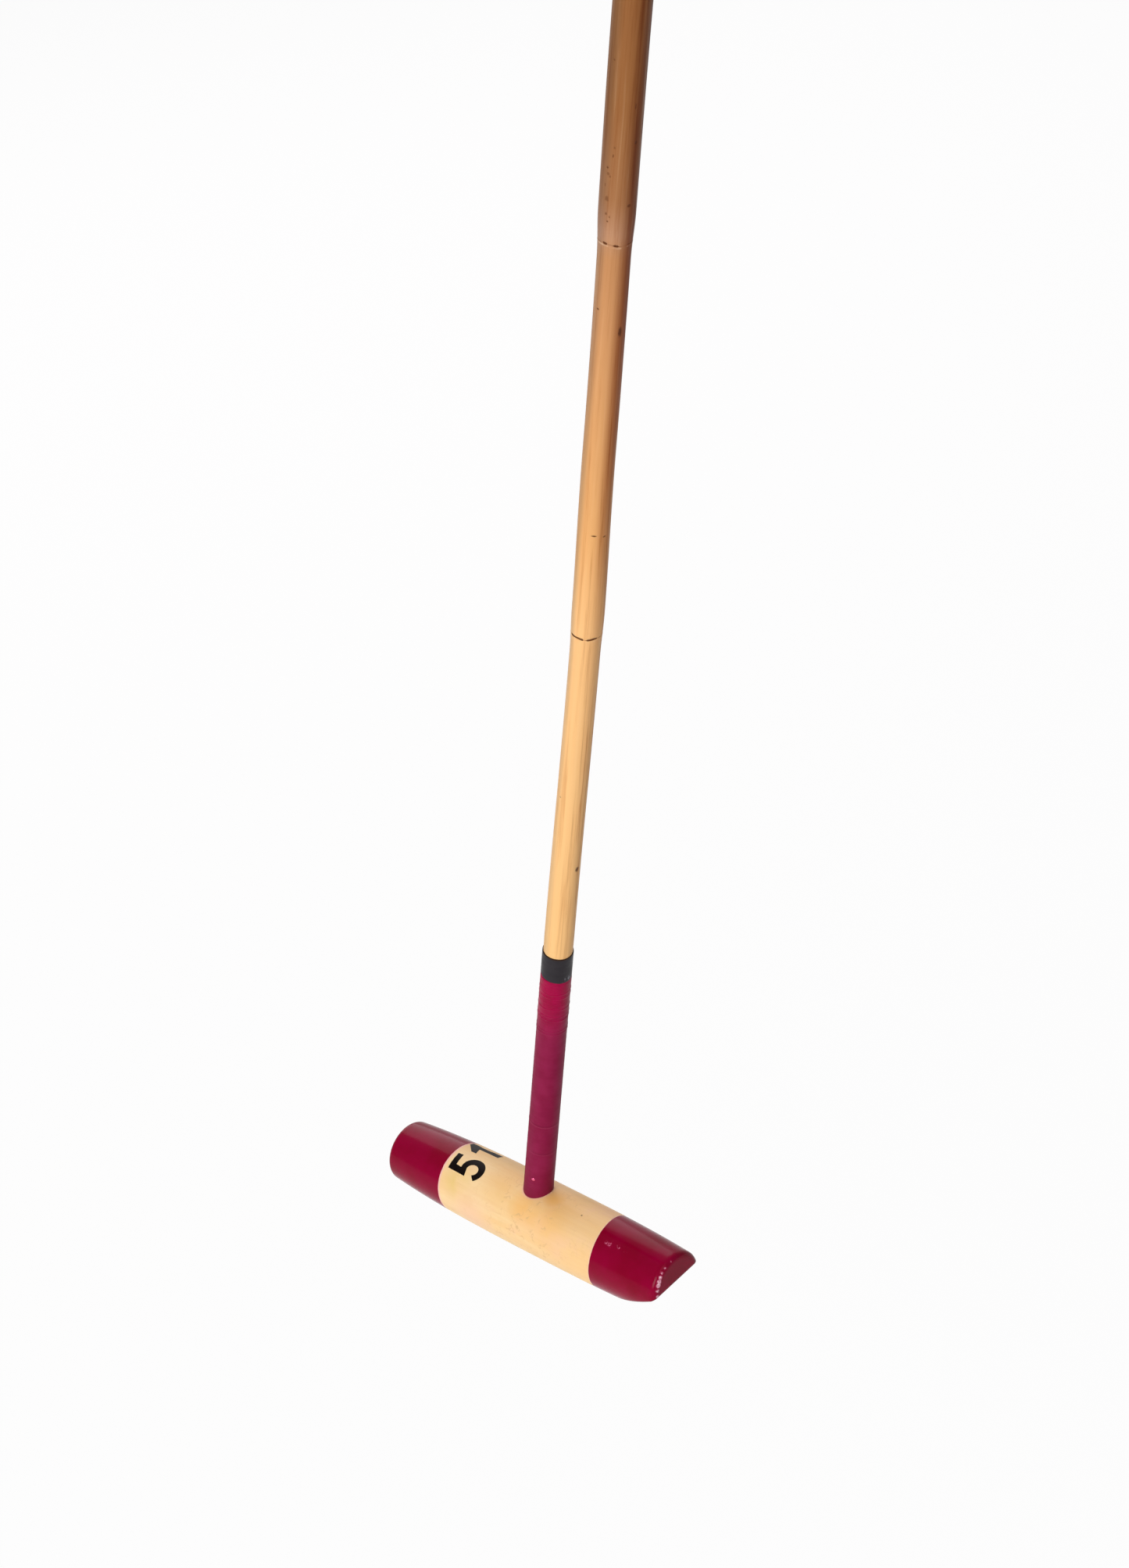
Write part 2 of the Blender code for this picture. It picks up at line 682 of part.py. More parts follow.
def build_sling(parts, cutters, shaft, finish):
    """Band, doubled webbing, tacks and the hanging loop. Returns the pocket and the holes."""
    sections = [core_section(up, GAP) for up in (SLING_BAND_BOTTOM, SLING_BAND_TOP)]
    band = loft("sling_band", sections, capped=False)
    put(band, parts, shaft, finish["black leather"])
    thicken(band, SLING_BAND_THICKNESS)

    anchor = to_mesh(flat_outline("sling_anchor", [anchor_outline()], SLING_WIDTH))
    put(anchor, parts, shaft, finish["sling webbing"])

    floor = ANCHOR_OUT - SLING_THICKNESS - GAP
    side = SLING_WIDTH / 2 + GAP
    top = HINGE_UP + SLING_THICKNESS + 2 * GAP
    pocket = box("sling_pocket", (floor, -side, SLING_BAND_BOTTOM + GAP), (FAR, side, top))
    put(as_cutter(pocket), cutters, shaft)

    out = core_at(SLING_BAND_BOTTOM)[0] + SLING_BAND_THICKNESS + 2 * GAP
    holes = []
    for up, name in zip(SLING_TACKS, ("sling_tack_lower", "sling_tack_upper")):
        pin = tack(name, SLING_TACK_HEAD, SLING_TACK_SHANK, SLING_TACK_LENGTH)
        put(pin, parts, shaft, finish["brass"], (out, 0, up))
        pin.rotation_euler = (0, math.radians(90), 0)
        hole = tack_hole(name + "_hole", SLING_TACK_SHANK, SLING_TACK_LENGTH)
        put(hole, cutters, shaft, location=(out, 0, up))
        hole.rotation_euler = pin.rotation_euler
        holes.append(hole)
    for piece in (band, anchor):
        cut(piece, *holes)

    place = shaft.matrix_world @ Vector((HINGE_OUT, 0, HINGE_UP))
    hinge = empty("sling_hinge", parts, place)
    outer, inner = loop_outline()
    loop = to_mesh(flat_outline("sling_loop", [outer, inner], SLING_WIDTH))
    put(loop, parts, hinge, finish["sling webbing"])
    return pocket, holes


def build_butt(parts, cutters, shaft, finish):
    """The cap over the grip's end and its tack. Returns the tack's hole."""
    half_x, half_y, corner = (size + BUTT_CAP_OVERHANG for size in core_at(GRIP_TOP))
    sections = [(CAP_BOTTOM, half_x, half_y, corner), (BUTT, half_x, half_y, corner)]
    cap = put(loft("butt_cap", sections), parts, shaft, finish["black leather"])
    edge = cap.modifiers.new("edge", "BEVEL")
    edge.width = BUTT_CAP_THICKNESS / 4
    edge.segments = 2
    edge.limit_method = "ANGLE"
    edge.angle_limit = math.radians(60)

    place = (0, 0, BUTT + GAP)
    pin = tack("butt_tack", BUTT_TACK_HEAD, BUTT_TACK_SHANK, BUTT_TACK_LENGTH)
    put(pin, parts, shaft, finish["brass"], place)
    hole = tack_hole("butt_tack_hole", BUTT_TACK_SHANK, BUTT_TACK_LENGTH)
    put(hole, cutters, shaft, location=place)
    cut(cap, hole)
    return hole


def main():
    clear_scene()
    parts = bpy.data.collections.new("polo_mallet")
    cutters = bpy.data.collections.new("cutters")
    for collection in (parts, cutters):
        bpy.context.scene.collection.children.link(collection)
    finish = {
        "gloss paint": material("gloss paint", (0.21, 0.003, 0.02), 0.2),
        "cane": material("cane", (0.75, 0.42, 0.19), 0.4),
        "hardwood": material("hardwood", (0.55, 0.36, 0.2), 0.5),
        "binding": material("binding", (0.30, 0.012, 0.06), 0.6),
        "black tape": material("black tape", (0.03, 0.03, 0.035), 0.5),
        "copper tack": material("copper tack", (0.75, 0.4, 0.35), 0.35, 1.0),
        "black leather": material("black leather", (0.03, 0.028, 0.028), 0.5),
        "grip webbing": material("grip webbing", (0.30, 0.012, 0.06), 0.8),
        "sling webbing": material("sling webbing", (0.05, 0.05, 0.055), 0.85),
        "brass": material("brass", (0.7, 0.5, 0.2), 0.3, 1.0),
    }

    foot = Vector((math.sin(SHAFT_LEAN), 0, math.cos(SHAFT_LEAN))) * -HAND
    frame = empty("head_frame", parts, foot)
    shaft = empty("shaft_frame", parts, foot, (0, SHAFT_LEAN, 0))
    bpy.context.view_layer.update()

    head_clear = build_head(parts, cutters, frame, shaft, finish)
    saw, kerf = build_foot(parts, cutters, frame, shaft, finish)
    neck_hole = build_neck(parts, cutters, shaft, finish, head_clear)
    pocket, sling_holes = build_sling(parts, cutters, shaft, finish)
    butt_hole = build_butt(parts, cutters, shaft, finish)
    build_grip(parts, cutters, shaft, finish, pocket, sling_holes)
    cane = put(to_mesh(cane_curve()), parts, shaft, finish["cane"])
    cut(cane, saw, kerf, neck_hole, *sling_holes, butt_hole)
    for made in parts.objects:
        if made.type == "MESH":
            smooth(made)


main()
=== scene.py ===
"""A polo mallet dressed in its finishes: lacquered wooden head, cane shaft, bound neck, black
tape collar, wound grip and webbing hand sling.

Metres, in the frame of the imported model: +Z up, the head level along X with its bevelled heel at
+X, and the origin in the middle of the grip. Heights called up are measured along the shaft from
the head's axis, and the head's lengths from where the shaft's axis crosses it.
"""

import json
import math

import bmesh
import bpy
import numpy as np
from mathutils import Matrix, Vector

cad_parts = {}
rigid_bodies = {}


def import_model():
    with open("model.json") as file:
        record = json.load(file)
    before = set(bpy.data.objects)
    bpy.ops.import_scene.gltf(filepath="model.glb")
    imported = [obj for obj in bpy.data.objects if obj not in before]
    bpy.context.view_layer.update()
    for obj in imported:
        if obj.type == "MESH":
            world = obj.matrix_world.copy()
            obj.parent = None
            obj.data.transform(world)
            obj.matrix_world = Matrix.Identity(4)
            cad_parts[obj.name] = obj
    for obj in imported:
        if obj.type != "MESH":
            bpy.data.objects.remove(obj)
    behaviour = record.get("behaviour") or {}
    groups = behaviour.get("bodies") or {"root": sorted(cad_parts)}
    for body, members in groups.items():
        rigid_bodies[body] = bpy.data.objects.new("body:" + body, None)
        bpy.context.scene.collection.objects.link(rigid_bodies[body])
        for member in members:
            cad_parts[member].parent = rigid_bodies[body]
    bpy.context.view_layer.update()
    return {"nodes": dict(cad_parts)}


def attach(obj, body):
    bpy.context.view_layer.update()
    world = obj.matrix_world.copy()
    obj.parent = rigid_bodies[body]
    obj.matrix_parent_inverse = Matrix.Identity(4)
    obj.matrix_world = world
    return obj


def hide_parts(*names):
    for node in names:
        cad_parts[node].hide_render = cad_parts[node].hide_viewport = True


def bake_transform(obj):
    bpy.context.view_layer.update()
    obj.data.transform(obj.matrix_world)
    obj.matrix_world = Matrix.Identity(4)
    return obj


MM = 0.001

# The model's own sizes, as in its source
GAP = 0.3 * MM
HEAD_DIAMETER = 47.6 * MM
BELLY_OFFSET = 25 * MM
TOE_LENGTH = 111.9 * MM
TOE_DIAMETER = 39.1 * MM
TOE_FULLNESS = 3.3
TOE_ROUNDING = 3.4 * MM
HEEL_LENGTH = 116.9 * MM
HEEL_DIAMETER = 42.5 * MM
HEEL_FULLNESS = 2.6
HEEL_ROUNDING = 3.7 * MM
BEVEL_OFFSET = 111 * MM
BEVEL_ANGLE = math.radians(27.2)
BEVEL_ROLL = math.radians(4.4)
SHAFT_LEAN = math.radians(12.5)
MALLET_LENGTH = 1295.4 * MM
FOOT_DIAMETER = 16.2 * MM
FOOT_TOP = 195 * MM
FOOT_TAPER = 50 * MM
NODE_BELOW = 10 * MM
NODE_ABOVE = 19 * MM
# Each internode: where it starts up the shaft, its diameter there and where it ends
INTERNODES = (
    (212 * MM, 17.45 * MM, 16.85 * MM),
    (470 * MM, 17.95 * MM, 17.15 * MM),
    (728 * MM, 19.05 * MM, 19.55 * MM),
    (986 * MM, 20.0 * MM, 20.0 * MM),
)
BENDS = ((235 * MM, 0.0), (470 * MM, 1.5 * MM), (600 * MM, -0.1 * MM), (866 * MM, -2.3 * MM))
STRAIGHT_BELOW_GRIP = 8 * MM
SHAVED_DIAMETER = 18 * MM
WEDGE_LENGTH = 26 * MM
WEDGE_THICK = 3 * MM
WEDGE_THIN = 1 * MM
WEDGE_TIP = 1 * MM
SAWN_OFF = 6 * MM
TAPE_BOTTOM = 212 * MM
TAPE_WIDTH = 19 * MM
TAPE_THICKNESS = 0.5 * MM
BINDING_FOOT_THICKNESS = 0.95 * MM
BINDING_TOP_THICKNESS = 0.70 * MM
NECK_TACK_UP = 40.8 * MM
NECK_TACK_TURN = math.radians(-73.7)
NECK_TACK_HEAD = 1.2 * MM
GRIP_LENGTH = 249.7 * MM
GRIP_ALONG = 30 * MM
GRIP_ACROSS = 26 * MM
GRIP_CORNER = 5 * MM
GRIP_FOOT = 22.2 * MM
GRIP_FOOT_LENGTH = 20 * MM
FLARE_LENGTH = 22 * MM
FLARE_GROWTH = 4 * MM
FOOT_BAND_MARGIN = 2 * MM
FOOT_BAND_THICKNESS = 1.5 * MM
WINDING_WIDTH = 19.6 * MM
WINDING_THICKNESS = 1.6 * MM
WINDING_PITCH = 21 * MM
WINDING_MARGIN = 2.5 * MM
SLING_WIDTH = 15.8 * MM
SLING_THICKNESS = 1.8 * MM
SLING_BAND_DROP = 71.7 * MM
SLING_BAND_HEIGHT = 31 * MM
SLING_BAND_THICKNESS = 2 * MM
SLING_TACK_INSET = 7.5 * MM
SLING_TACK_HEAD = 3.5 * MM
HINGE_RISE = 13 * MM
HINGE_STAND = 8.5 * MM
ANCHOR_BEND = 4.6 * MM
LOOP_LENGTH = 272 * MM
LOOP_OPENING = 40 * MM
BUTT_CAP_THICKNESS = 3 * MM
BUTT_CAP_OVERHANG = 0.5 * MM
BUTT_TACK_HEAD = 5 * MM
TACK_DOME = 0.45

# Places worked out from the sizes above, as in the model's source
HEAD_RADIUS = HEAD_DIAMETER / 2
UNDER_HEAD = HEAD_RADIUS / math.cos(SHAFT_LEAN)
BUTT = MALLET_LENGTH - UNDER_HEAD
CAP_BOTTOM = BUTT - BUTT_CAP_THICKNESS
GRIP_TOP = CAP_BOTTOM - GAP
GRIP_BOTTOM = GRIP_TOP - GRIP_LENGTH
TAPE_TOP = TAPE_BOTTOM + TAPE_WIDTH
SLING_BAND_BOTTOM = GRIP_TOP - SLING_BAND_DROP
SLING_BAND_TOP = SLING_BAND_BOTTOM + SLING_BAND_HEIGHT
SLING_TACKS = (SLING_BAND_BOTTOM + SLING_TACK_INSET, SLING_BAND_TOP - SLING_TACK_INSET)
HINGE_UP = SLING_BAND_TOP + HINGE_RISE
HINGE_OUT = GRIP_ALONG / 2 + HINGE_STAND
WINDING_BOTTOM = GRIP_BOTTOM + GRIP_FOOT_LENGTH + WINDING_MARGIN
WINDING_TOP = SLING_BAND_BOTTOM - WINDING_MARGIN
HAND = (WINDING_BOTTOM + WINDING_TOP) / 2
ANCHOR_OUT = GRIP_ALONG / 2 - SLING_THICKNESS
FAR = 0.1
FOOT = Vector((math.sin(SHAFT_LEAN), 0, math.cos(SHAFT_LEAN))) * -HAND
SHAFT = Matrix.Translation(FOOT) @ Matrix.Rotation(SHAFT_LEAN, 4, "Y")
HINGE = SHAFT @ Vector((HINGE_OUT, 0, HINGE_UP))

# Camera and set
CAMERA_PLACE = (1.164100, -1.287145, 0.469879)
CAMERA_TURN = (56.6688, 5.8313, 42.1934)  # degrees
CAMERA_LENS = 89.73  # mm, for 36 mm along the picture's long side
BACKDROP_FACING = (-0.7, 0.72, 0.0)
FLOOR_DROP = 0.4  # below the head
FLOOR_SIZE = 80.0
FLOOR_GREY = 0.9
FLOOR_WHITE = 0.94  # how much of the floor is plain white to the rays that see it as background
ROOM = {"Color": (0.96, 0.97, 1.0, 1), "Strength": 0.21}
# How white a gloss shows the world: 0.2 away from the backdrop, up to 1 at its middle
BACKDROP_FADE = {"From Min": 0.3, "From Max": 0.85, "To Min": 0.2}
# Softboxes: name, place, aim, size, power and colour
SOFTBOXES = (
    ("key", (0.45, -2.7, 0.35), (-0.2, 0, -0.85), (1.6, 1.8), 67.5, (1, 1, 1)),
    ("top", (0.9, -0.5, 1.0), (0, 0, -1.05), (1.2, 1.2), 5.5, (1, 1, 1)),
    ("back", (-2.35, 1.5, 0.5), (-0.2, 0, -0.9), (2.4, 2.4), 45, (1, 0.89, 0.93)),
)


def clear_scene():
    for old in list(bpy.data.objects):
        bpy.data.objects.remove(old)


clear_scene()
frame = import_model()


# Mesh making


def keep(name, mesh, finish=None):
    """An object of that mesh at the origin, linked to the scene."""
    made = bpy.data.objects.new(name, mesh)
    bpy.context.scene.collection.objects.link(made)
    if finish:
        mesh.materials.clear()
        mesh.materials.append(finish)
    return made


def smoothed(made, angle):
    made.data.shade_smooth()
    made.data.set_sharp_from_angle(angle=math.radians(angle))
    return made


def fitted(made, slot, *nodes, angle=None):
    """Fixes a piece to the mallet in place of the nodes that are named. Its slot is not used."""
    if angle:
        smoothed(made, angle)
    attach(made, "mallet")
    if nodes:
        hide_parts(*nodes)


def applied(made):
    """Runs a piece's modifiers and keeps the result as its plain mesh."""
    bpy.context.view_layer.update()
    graph = bpy.context.evaluated_depsgraph_get()
    mesh = bpy.data.meshes.new_from_object(made.evaluated_get(graph))
    made.modifiers.clear()
    made.data = mesh
    return made


def skin(name, rings, loop=False):
    """A closed skin through rings of points; its ends are drawn to their middles, or joined up."""
    rings = np.asarray(rings, float)
    count, around, _ = rings.shape
    index = np.arange(count * around).reshape(count, around)
    lower, upper = (index, np.roll(index, -1, axis=0)) if loop else (index[:-1], index[1:])
    quads = [lower, np.roll(lower, -1, axis=1), np.roll(upper, -1, axis=1), upper]
    faces = np.stack(quads, axis=-1).reshape(-1, 4).tolist()
    points = rings.reshape(-1, 3).tolist()
    if not loop:
        for row, turn in ((0, -1), (-1, 1)):
            middle = len(points)
            points.append(rings[row].mean(axis=0).tolist())
            edge = index[row][::turn].tolist()
            faces += [[edge[i], edge[(i + 1) % around], middle] for i in range(around)]
    mesh = bpy.data.meshes.new(name)
    mesh.from_pydata(points, [], faces)
    mesh.update()
    return mesh


def on_shaft(points):
    """Points given as (x, y, up) in the shaft's own frame, placed in the model's."""
    return np.asarray(points) @ np.array(SHAFT.to_3x3()).T + np.array(FOOT)


def full_turn(count):
    """Angles an even step apart, once round."""
    return 2 * math.pi * np.arange(count) / count


def ring(radius, turn, up):
    """Points round an axis at each angle's radius and height."""
    points = np.broadcast_arrays(radius * np.cos(turn), radius * np.sin(turn), up)
    return np.stack(points, axis=-1)


def sleeve(name, turn, rows):
    """A closed skin round the shaft through rows of (radius, up), the last joined to the first."""
    return skin(name, on_shaft([ring(radius, turn, up) for radius, up in rows]), loop=True)


def note(mesh, name, values):
    """Keeps a number for each point, for the finish to read."""
    layer = mesh.attributes.new(name, "FLOAT", "POINT")
    layer.data.foreach_set("value", np.asarray(values, np.float32).ravel())


def carved(made, *cutters):
    """Cuts the cutters out of a piece and removes them."""
    for cutter in cutters:
        boolean = made.modifiers.new(cutter.name, "BOOLEAN")
        boolean.operation = "DIFFERENCE"
        boolean.object = cutter
    applied(made)
    for cutter in cutters:
        bpy.data.objects.remove(cutter)
    return made


def rod(name, radius, bottom, top):
    """A round cutter along the shaft."""
    turn = full_turn(96)
    return keep(name, skin(name, on_shaft([ring(radius, turn, up) for up in (bottom, top)])))


def prism(name, outline, half_width):
    """A straight cutter across the shaft from an outline in (x, up)."""
    rings = [[(x, side * half_width, up) for x, up in outline] for side in (1, -1)]
    return keep(name, skin(name, on_shaft(rings)))


def cut_across(form, place, facing, **more):
    """Cuts all of a bmesh along a plane."""
    whole = form.verts[:] + form.edges[:] + form.faces[:]
    return bmesh.ops.bisect_plane(form, geom=whole, plane_co=place, plane_no=facing, **more)


def ease(share):
    """0 to 1 with a soft start and a soft end."""
    return (1 - np.cos(np.pi * np.clip(share, 0, 1))) / 2


def ripple(seed, turn, terms=5, least=1):
    """A wavering closed line, about -1 to 1, the same each time for a seed."""
    random = np.random.default_rng(seed)
    phases = random.uniform(0, 2 * math.pi, terms)
    heights = random.uniform(0.5, 1, terms)
    waves = [h * np.cos((i + least) * turn + p) for i, (h, p) in enumerate(zip(heights, phases))]
    return sum(waves) / heights.sum() * 1.6


# Trees of nodes


class Number:
    """A value in a tree of nodes; each sum that it is used in adds a node."""

    def __init__(self, nodes, socket):
        self.nodes, self.socket = nodes, socket

    def __add__(self, other):
        return self.nodes.reckon("ADD", self, other)

    def __sub__(self, other):
        return self.nodes.reckon("SUBTRACT", self, other)

    def __rsub__(self, other):
        return self.nodes.reckon("SUBTRACT", other, self)

    def __mul__(self, other):
        return self.nodes.reckon("MULTIPLY", self, other)

    def __truediv__(self, other):
        return self.nodes.reckon("DIVIDE", self, other)

    def __pow__(self, other):
        return self.nodes.reckon("POWER", self, other)

    def __abs__(self):
        return self.nodes.reckon("ABSOLUTE", self)


class Nodes:
    """A tree of nodes and short ways to add to it."""

    def __init__(self, tree):
        self.tree = tree

    def add(self, kind, wires=None, **settings):
        made = self.tree.nodes.new(kind)
        for key, value in settings.items():
            setattr(made, key, value)
        for socket, value in (wires or {}).items():
            self.wire(value, made.inputs[socket])
        return made

    def wire(self, value, socket):
        value = value.socket if isinstance(value, Number) else value
        if isinstance(value, bpy.types.NodeSocket):
            self.tree.links.new(value, socket)
        else:
            socket.default_value = value

    def get(self, kind, wires=None, output=0, **settings):
        """Adds a node and gives one of its outputs."""
        return Number(self, self.add(kind, wires, **settings).outputs[output])

    def reckon(self, operation, *values):
        return self.get("ShaderNodeMath", dict(enumerate(values)), operation=operation)

    def most(self, first, second):
        return self.reckon("MAXIMUM", first, second)

    def vector(self, operation, *values, output=0):
        wires = dict(enumerate(values))
        return self.get("ShaderNodeVectorMath", wires, output, operation=operation)

    def split(self, vector):
        made = self.add("ShaderNodeSeparateXYZ", {0: vector})
        return [Number(self, socket) for socket in made.outputs]

    def joined(self, *values):
        return self.get("ShaderNodeCombineXYZ", dict(enumerate(values)))


class Tree(Nodes):
    """A geometry tree with a named input for each size, and one for the finish of its mesh."""

    def __init__(self, name, *sizes):
        super().__init__(bpy.data.node_groups.new(name, "GeometryNodeTree"))
        kinds = {"Finish": "NodeSocketMaterial", "Path": "NodeSocketGeometry"}
        sockets = self.tree.interface
        for size in (*sizes, "Finish"):
            kind = kinds.get(size, "NodeSocketFloat")
            sockets.new_socket(size, in_out="INPUT", socket_type=kind)
        sockets.new_socket("Mesh", in_out="OUTPUT", socket_type="NodeSocketGeometry")
        given = self.add("NodeGroupInput").outputs
        self.sizes = [Number(self, given[size]) for size in sizes]
        self.finish = given["Finish"]

    def box(self, width, height, corner, count):
        """A rounded oblong line."""
        wires = {"Width": width, "Height": height}
        line = self.get("GeometryNodeCurvePrimitiveQuadrilateral", wires)
        wires = {"Curve": line, "Radius": corner, "Count": count}
        return self.get("GeometryNodeFilletCurve", wires, mode="POLY")

    def stored(self, line, name, value):
        wires = {"Geometry": line, "Name": name, "Value": value}
        return self.get("GeometryNodeStoreNamedAttribute", wires, data_type="FLOAT")

    def swept(self, line, section):
        wires = {"Curve": line, "Profile Curve": section, "Fill Caps": True}
        return self.end(self.get("GeometryNodeCurveToMesh", wires))

    def end(self, geometry):
        whole = self.get("GeometryNodeRealizeInstances", {"Geometry": geometry})
        soft = self.get("GeometryNodeSetShadeSmooth", {0: whole})
        wires = {"Geometry": soft, "Material": self.finish}
        self.add("NodeGroupOutput", {0: self.get("GeometryNodeSetMaterial", wires)})
        return self.tree


def from_tree(name, tree, path=None, **sizes):
    """Runs a tree with its sizes and keeps what it makes as a plain mesh."""
    holder = keep(name, path or bpy.data.meshes.new(name))
    modifier = holder.modifiers.new(name, "NODES")
    modifier.node_group = tree
    for socket in tree.interface.items_tree:
        if socket.in_out == "INPUT" and socket.name in sizes:
            modifier[socket.identifier] = sizes[socket.name]
    return applied(holder)


def whipping_tree():
    """Close turns of thread round the shaft, some a little prouder, sinking in at the lower end."""
    sizes = ("Bottom", "Top", "Pitch", "Radius", "Thread", "Unevenness", "Fade")
    t = Tree("thread whipping", *sizes)
    bottom, top, pitch, radius, thread, unevenness, fade = t.sizes
    height = top - bottom
    wires = {"Resolution": 48, "Rotations": height / pitch, "Height": height}
    wires.update({"Start Radius": radius, "End Radius": radius})
    coil = t.get("GeometryNodeCurveSpiral", wires)
    x, y, z = t.split(t.get("GeometryNodeInputPosition"))
    wires = {"W": z / pitch, "Scale": 0.8, "Detail": 1.0}
    chance = t.get("ShaderNodeTexNoise", wires, noise_dimensions="1D")
    proud = t.most(chance - 0.55, 0.0) * unevenness
    sunk = t.most(1.0 - z / fade, 0.0) ** 2.0 * (0.25 * MM)
    wires = {0: t.joined(x, y, 0.0), "Scale": (proud - sunk) / radius}
    move = t.get("ShaderNodeVectorMath", wires, operation="SCALE")
    offset = t.vector("ADD", move, t.joined(0.0, 0.0, bottom))
    coil = t.get("GeometryNodeSetPosition", {"Geometry": coil, "Offset": offset})
    section = t.get("GeometryNodeCurvePrimitiveCircle", {"Resolution": 8, "Radius": thread})
    return t.swept(coil, section)


def winding_tree():
    """A tape wound round a rounded oblong at an even pitch, with its lengths kept for the weave."""
    t = Tree("wound tape", "Along", "Across", "Corner", "Turns", "Pitch", "Width", "Thickness")
    along, across, corner, turns, pitch, width, thickness = t.sizes
    lap = t.box(along, across, corner, 12)
    once = t.get("GeometryNodeCurveLength", {"Curve": lap})
    line = t.get("GeometryNodeCurvePrimitiveLine", {"Start": (0, 0, 0), "End": (0, 0, 1)})
    line = t.get("GeometryNodeResampleCurve", {"Curve": line, "Count": 1100})
    turn = t.get("GeometryNodeSplineParameter", output="Factor") * turns
    wires = {"Curves": lap, "Length": t.reckon("FRACT", turn) * once}
    x, y, _ = t.split(t.get("GeometryNodeSampleCurve", wires, "Position", mode="LENGTH"))
    wires = {"Geometry": line, "Position": t.joined(x, y, turn * pitch)}
    path = t.get("GeometryNodeSetPosition", wires)
    path = t.get("GeometryNodeSetCurveNormal", {"Curve": path}, mode="Z_UP")
    path = t.stored(path, "along", t.get("GeometryNodeSplineParameter", output="Length"))
    section = t.box(thickness, width, thickness * 0.42, 4)
    section = t.get("GeometryNodeResampleCurve", {"Curve": section, "Count": 44})
    section = t.stored(section, "across", t.split(t.get("GeometryNodeInputPosition"))[1])
    return t.swept(path, section)


def stitch_tree():
    """Stitches of thread at an even pitch along a path."""
    t = Tree("stitches", "Path", "Pitch", "Length", "Thread")
    path, pitch, length, thread = t.sizes
    line = t.get("GeometryNodeMeshToCurve", {"Mesh": path})
    wires = {"Curve": line, "Length": pitch}
    spots = t.add("GeometryNodeCurveToPoints", wires, mode="LENGTH").outputs
    ball = t.get("GeometryNodeMeshUVSphere", {"Segments": 8, "Rings": 6, "Radius": 0.5})
    wires = {"Geometry": ball, "Scale": t.joined(thread, thread, length)}
    stitch = t.get("GeometryNodeTransform", wires)
    wires = {"Points": spots["Points"], "Instance": stitch, "Rotation": spots["Rotation"]}
    return t.end(t.get("GeometryNodeInstanceOnPoints", wires))


# Head


def head_radius(x):
    toe = np.clip((BELLY_OFFSET - x) / (BELLY_OFFSET + TOE_LENGTH), 0, 1)
    heel = np.clip((x - BELLY_OFFSET) / (HEEL_LENGTH - BELLY_OFFSET), 0, 1)
    narrower = (HEAD_DIAMETER - TOE_DIAMETER) / 2 * toe**TOE_FULLNESS
    return HEAD_RADIUS - narrower - (HEAD_DIAMETER - HEEL_DIAMETER) / 2 * heel**HEEL_FULLNESS


def rounded_edge(first, second, rounding):
    """The greater of two distances, with the edge where they meet rounded."""
    a, b = first + rounding, second + rounding
    corner = np.hypot(np.maximum(a, 0), np.maximum(b, 0)) - rounding
    return np.where((a > 0) & (b > 0), corner, np.maximum(first, second))


PAST_SKIN = 60 * MM  # further than any ray in the head runs
HALVINGS = 40
BEVEL_ROUNDING = 1.3 * MM
BEVEL_FACING = np.array((0, math.sin(BEVEL_ROLL), -math.cos(BEVEL_ROLL))) * math.cos(BEVEL_ANGLE)
BEVEL_FACING[0] = math.sin(BEVEL_ANGLE)


def on_head(x, radius, turn):
    """A place in the head's frame: along it, from its axis and round it."""
    return x, radius * math.cos(turn), radius * math.sin(turn)


def head_sides(points):
    """Distances of points in the head's frame from its side, its two ends and its bevel."""
    x = points[..., 0]
    plain = np.clip(x, TOE_ROUNDING - TOE_LENGTH, HEEL_LENGTH - HEEL_ROUNDING)
    side = np.hypot(points[..., 1], points[..., 2]) - head_radius(plain)
    bevel = (points - np.array((BEVEL_OFFSET, 0, 0))) @ BEVEL_FACING
    return side, x - HEEL_LENGTH, -x - TOE_LENGTH, bevel


def head_field(points):
    """Below 0 inside the finished head, above 0 outside it."""
    side, heel, toe, bevel = head_sides(points)
    body = rounded_edge(side, toe, TOE_ROUNDING)
    body = np.maximum(body, rounded_edge(side, heel, HEEL_ROUNDING))
    return rounded_edge(body, bevel, BEVEL_ROUNDING)


def head_edges(points):
    """How near points of the head's skin are to one of its worn edges, 0 to 1."""
    side, heel, toe, bevel = head_sides(points)
    reach = 2.2 * MM
    pairs = ((side, heel), (side, bevel), (heel, bevel), (side, toe))
    near = [np.clip(1 + np.minimum(a, b) / reach, 0, 1) for a, b in pairs]
    return np.max(near, axis=0)


def how_far(shape, outside):
    """How far each of a set of rays runs inside, found by halving."""
    low, high = np.zeros(shape), np.full(shape, PAST_SKIN)
    for _ in range(HALVINGS):
        middle = (low + high) / 2
        out = outside(middle)
        low, high = np.where(out, low, middle), np.where(out, middle, high)
    return low


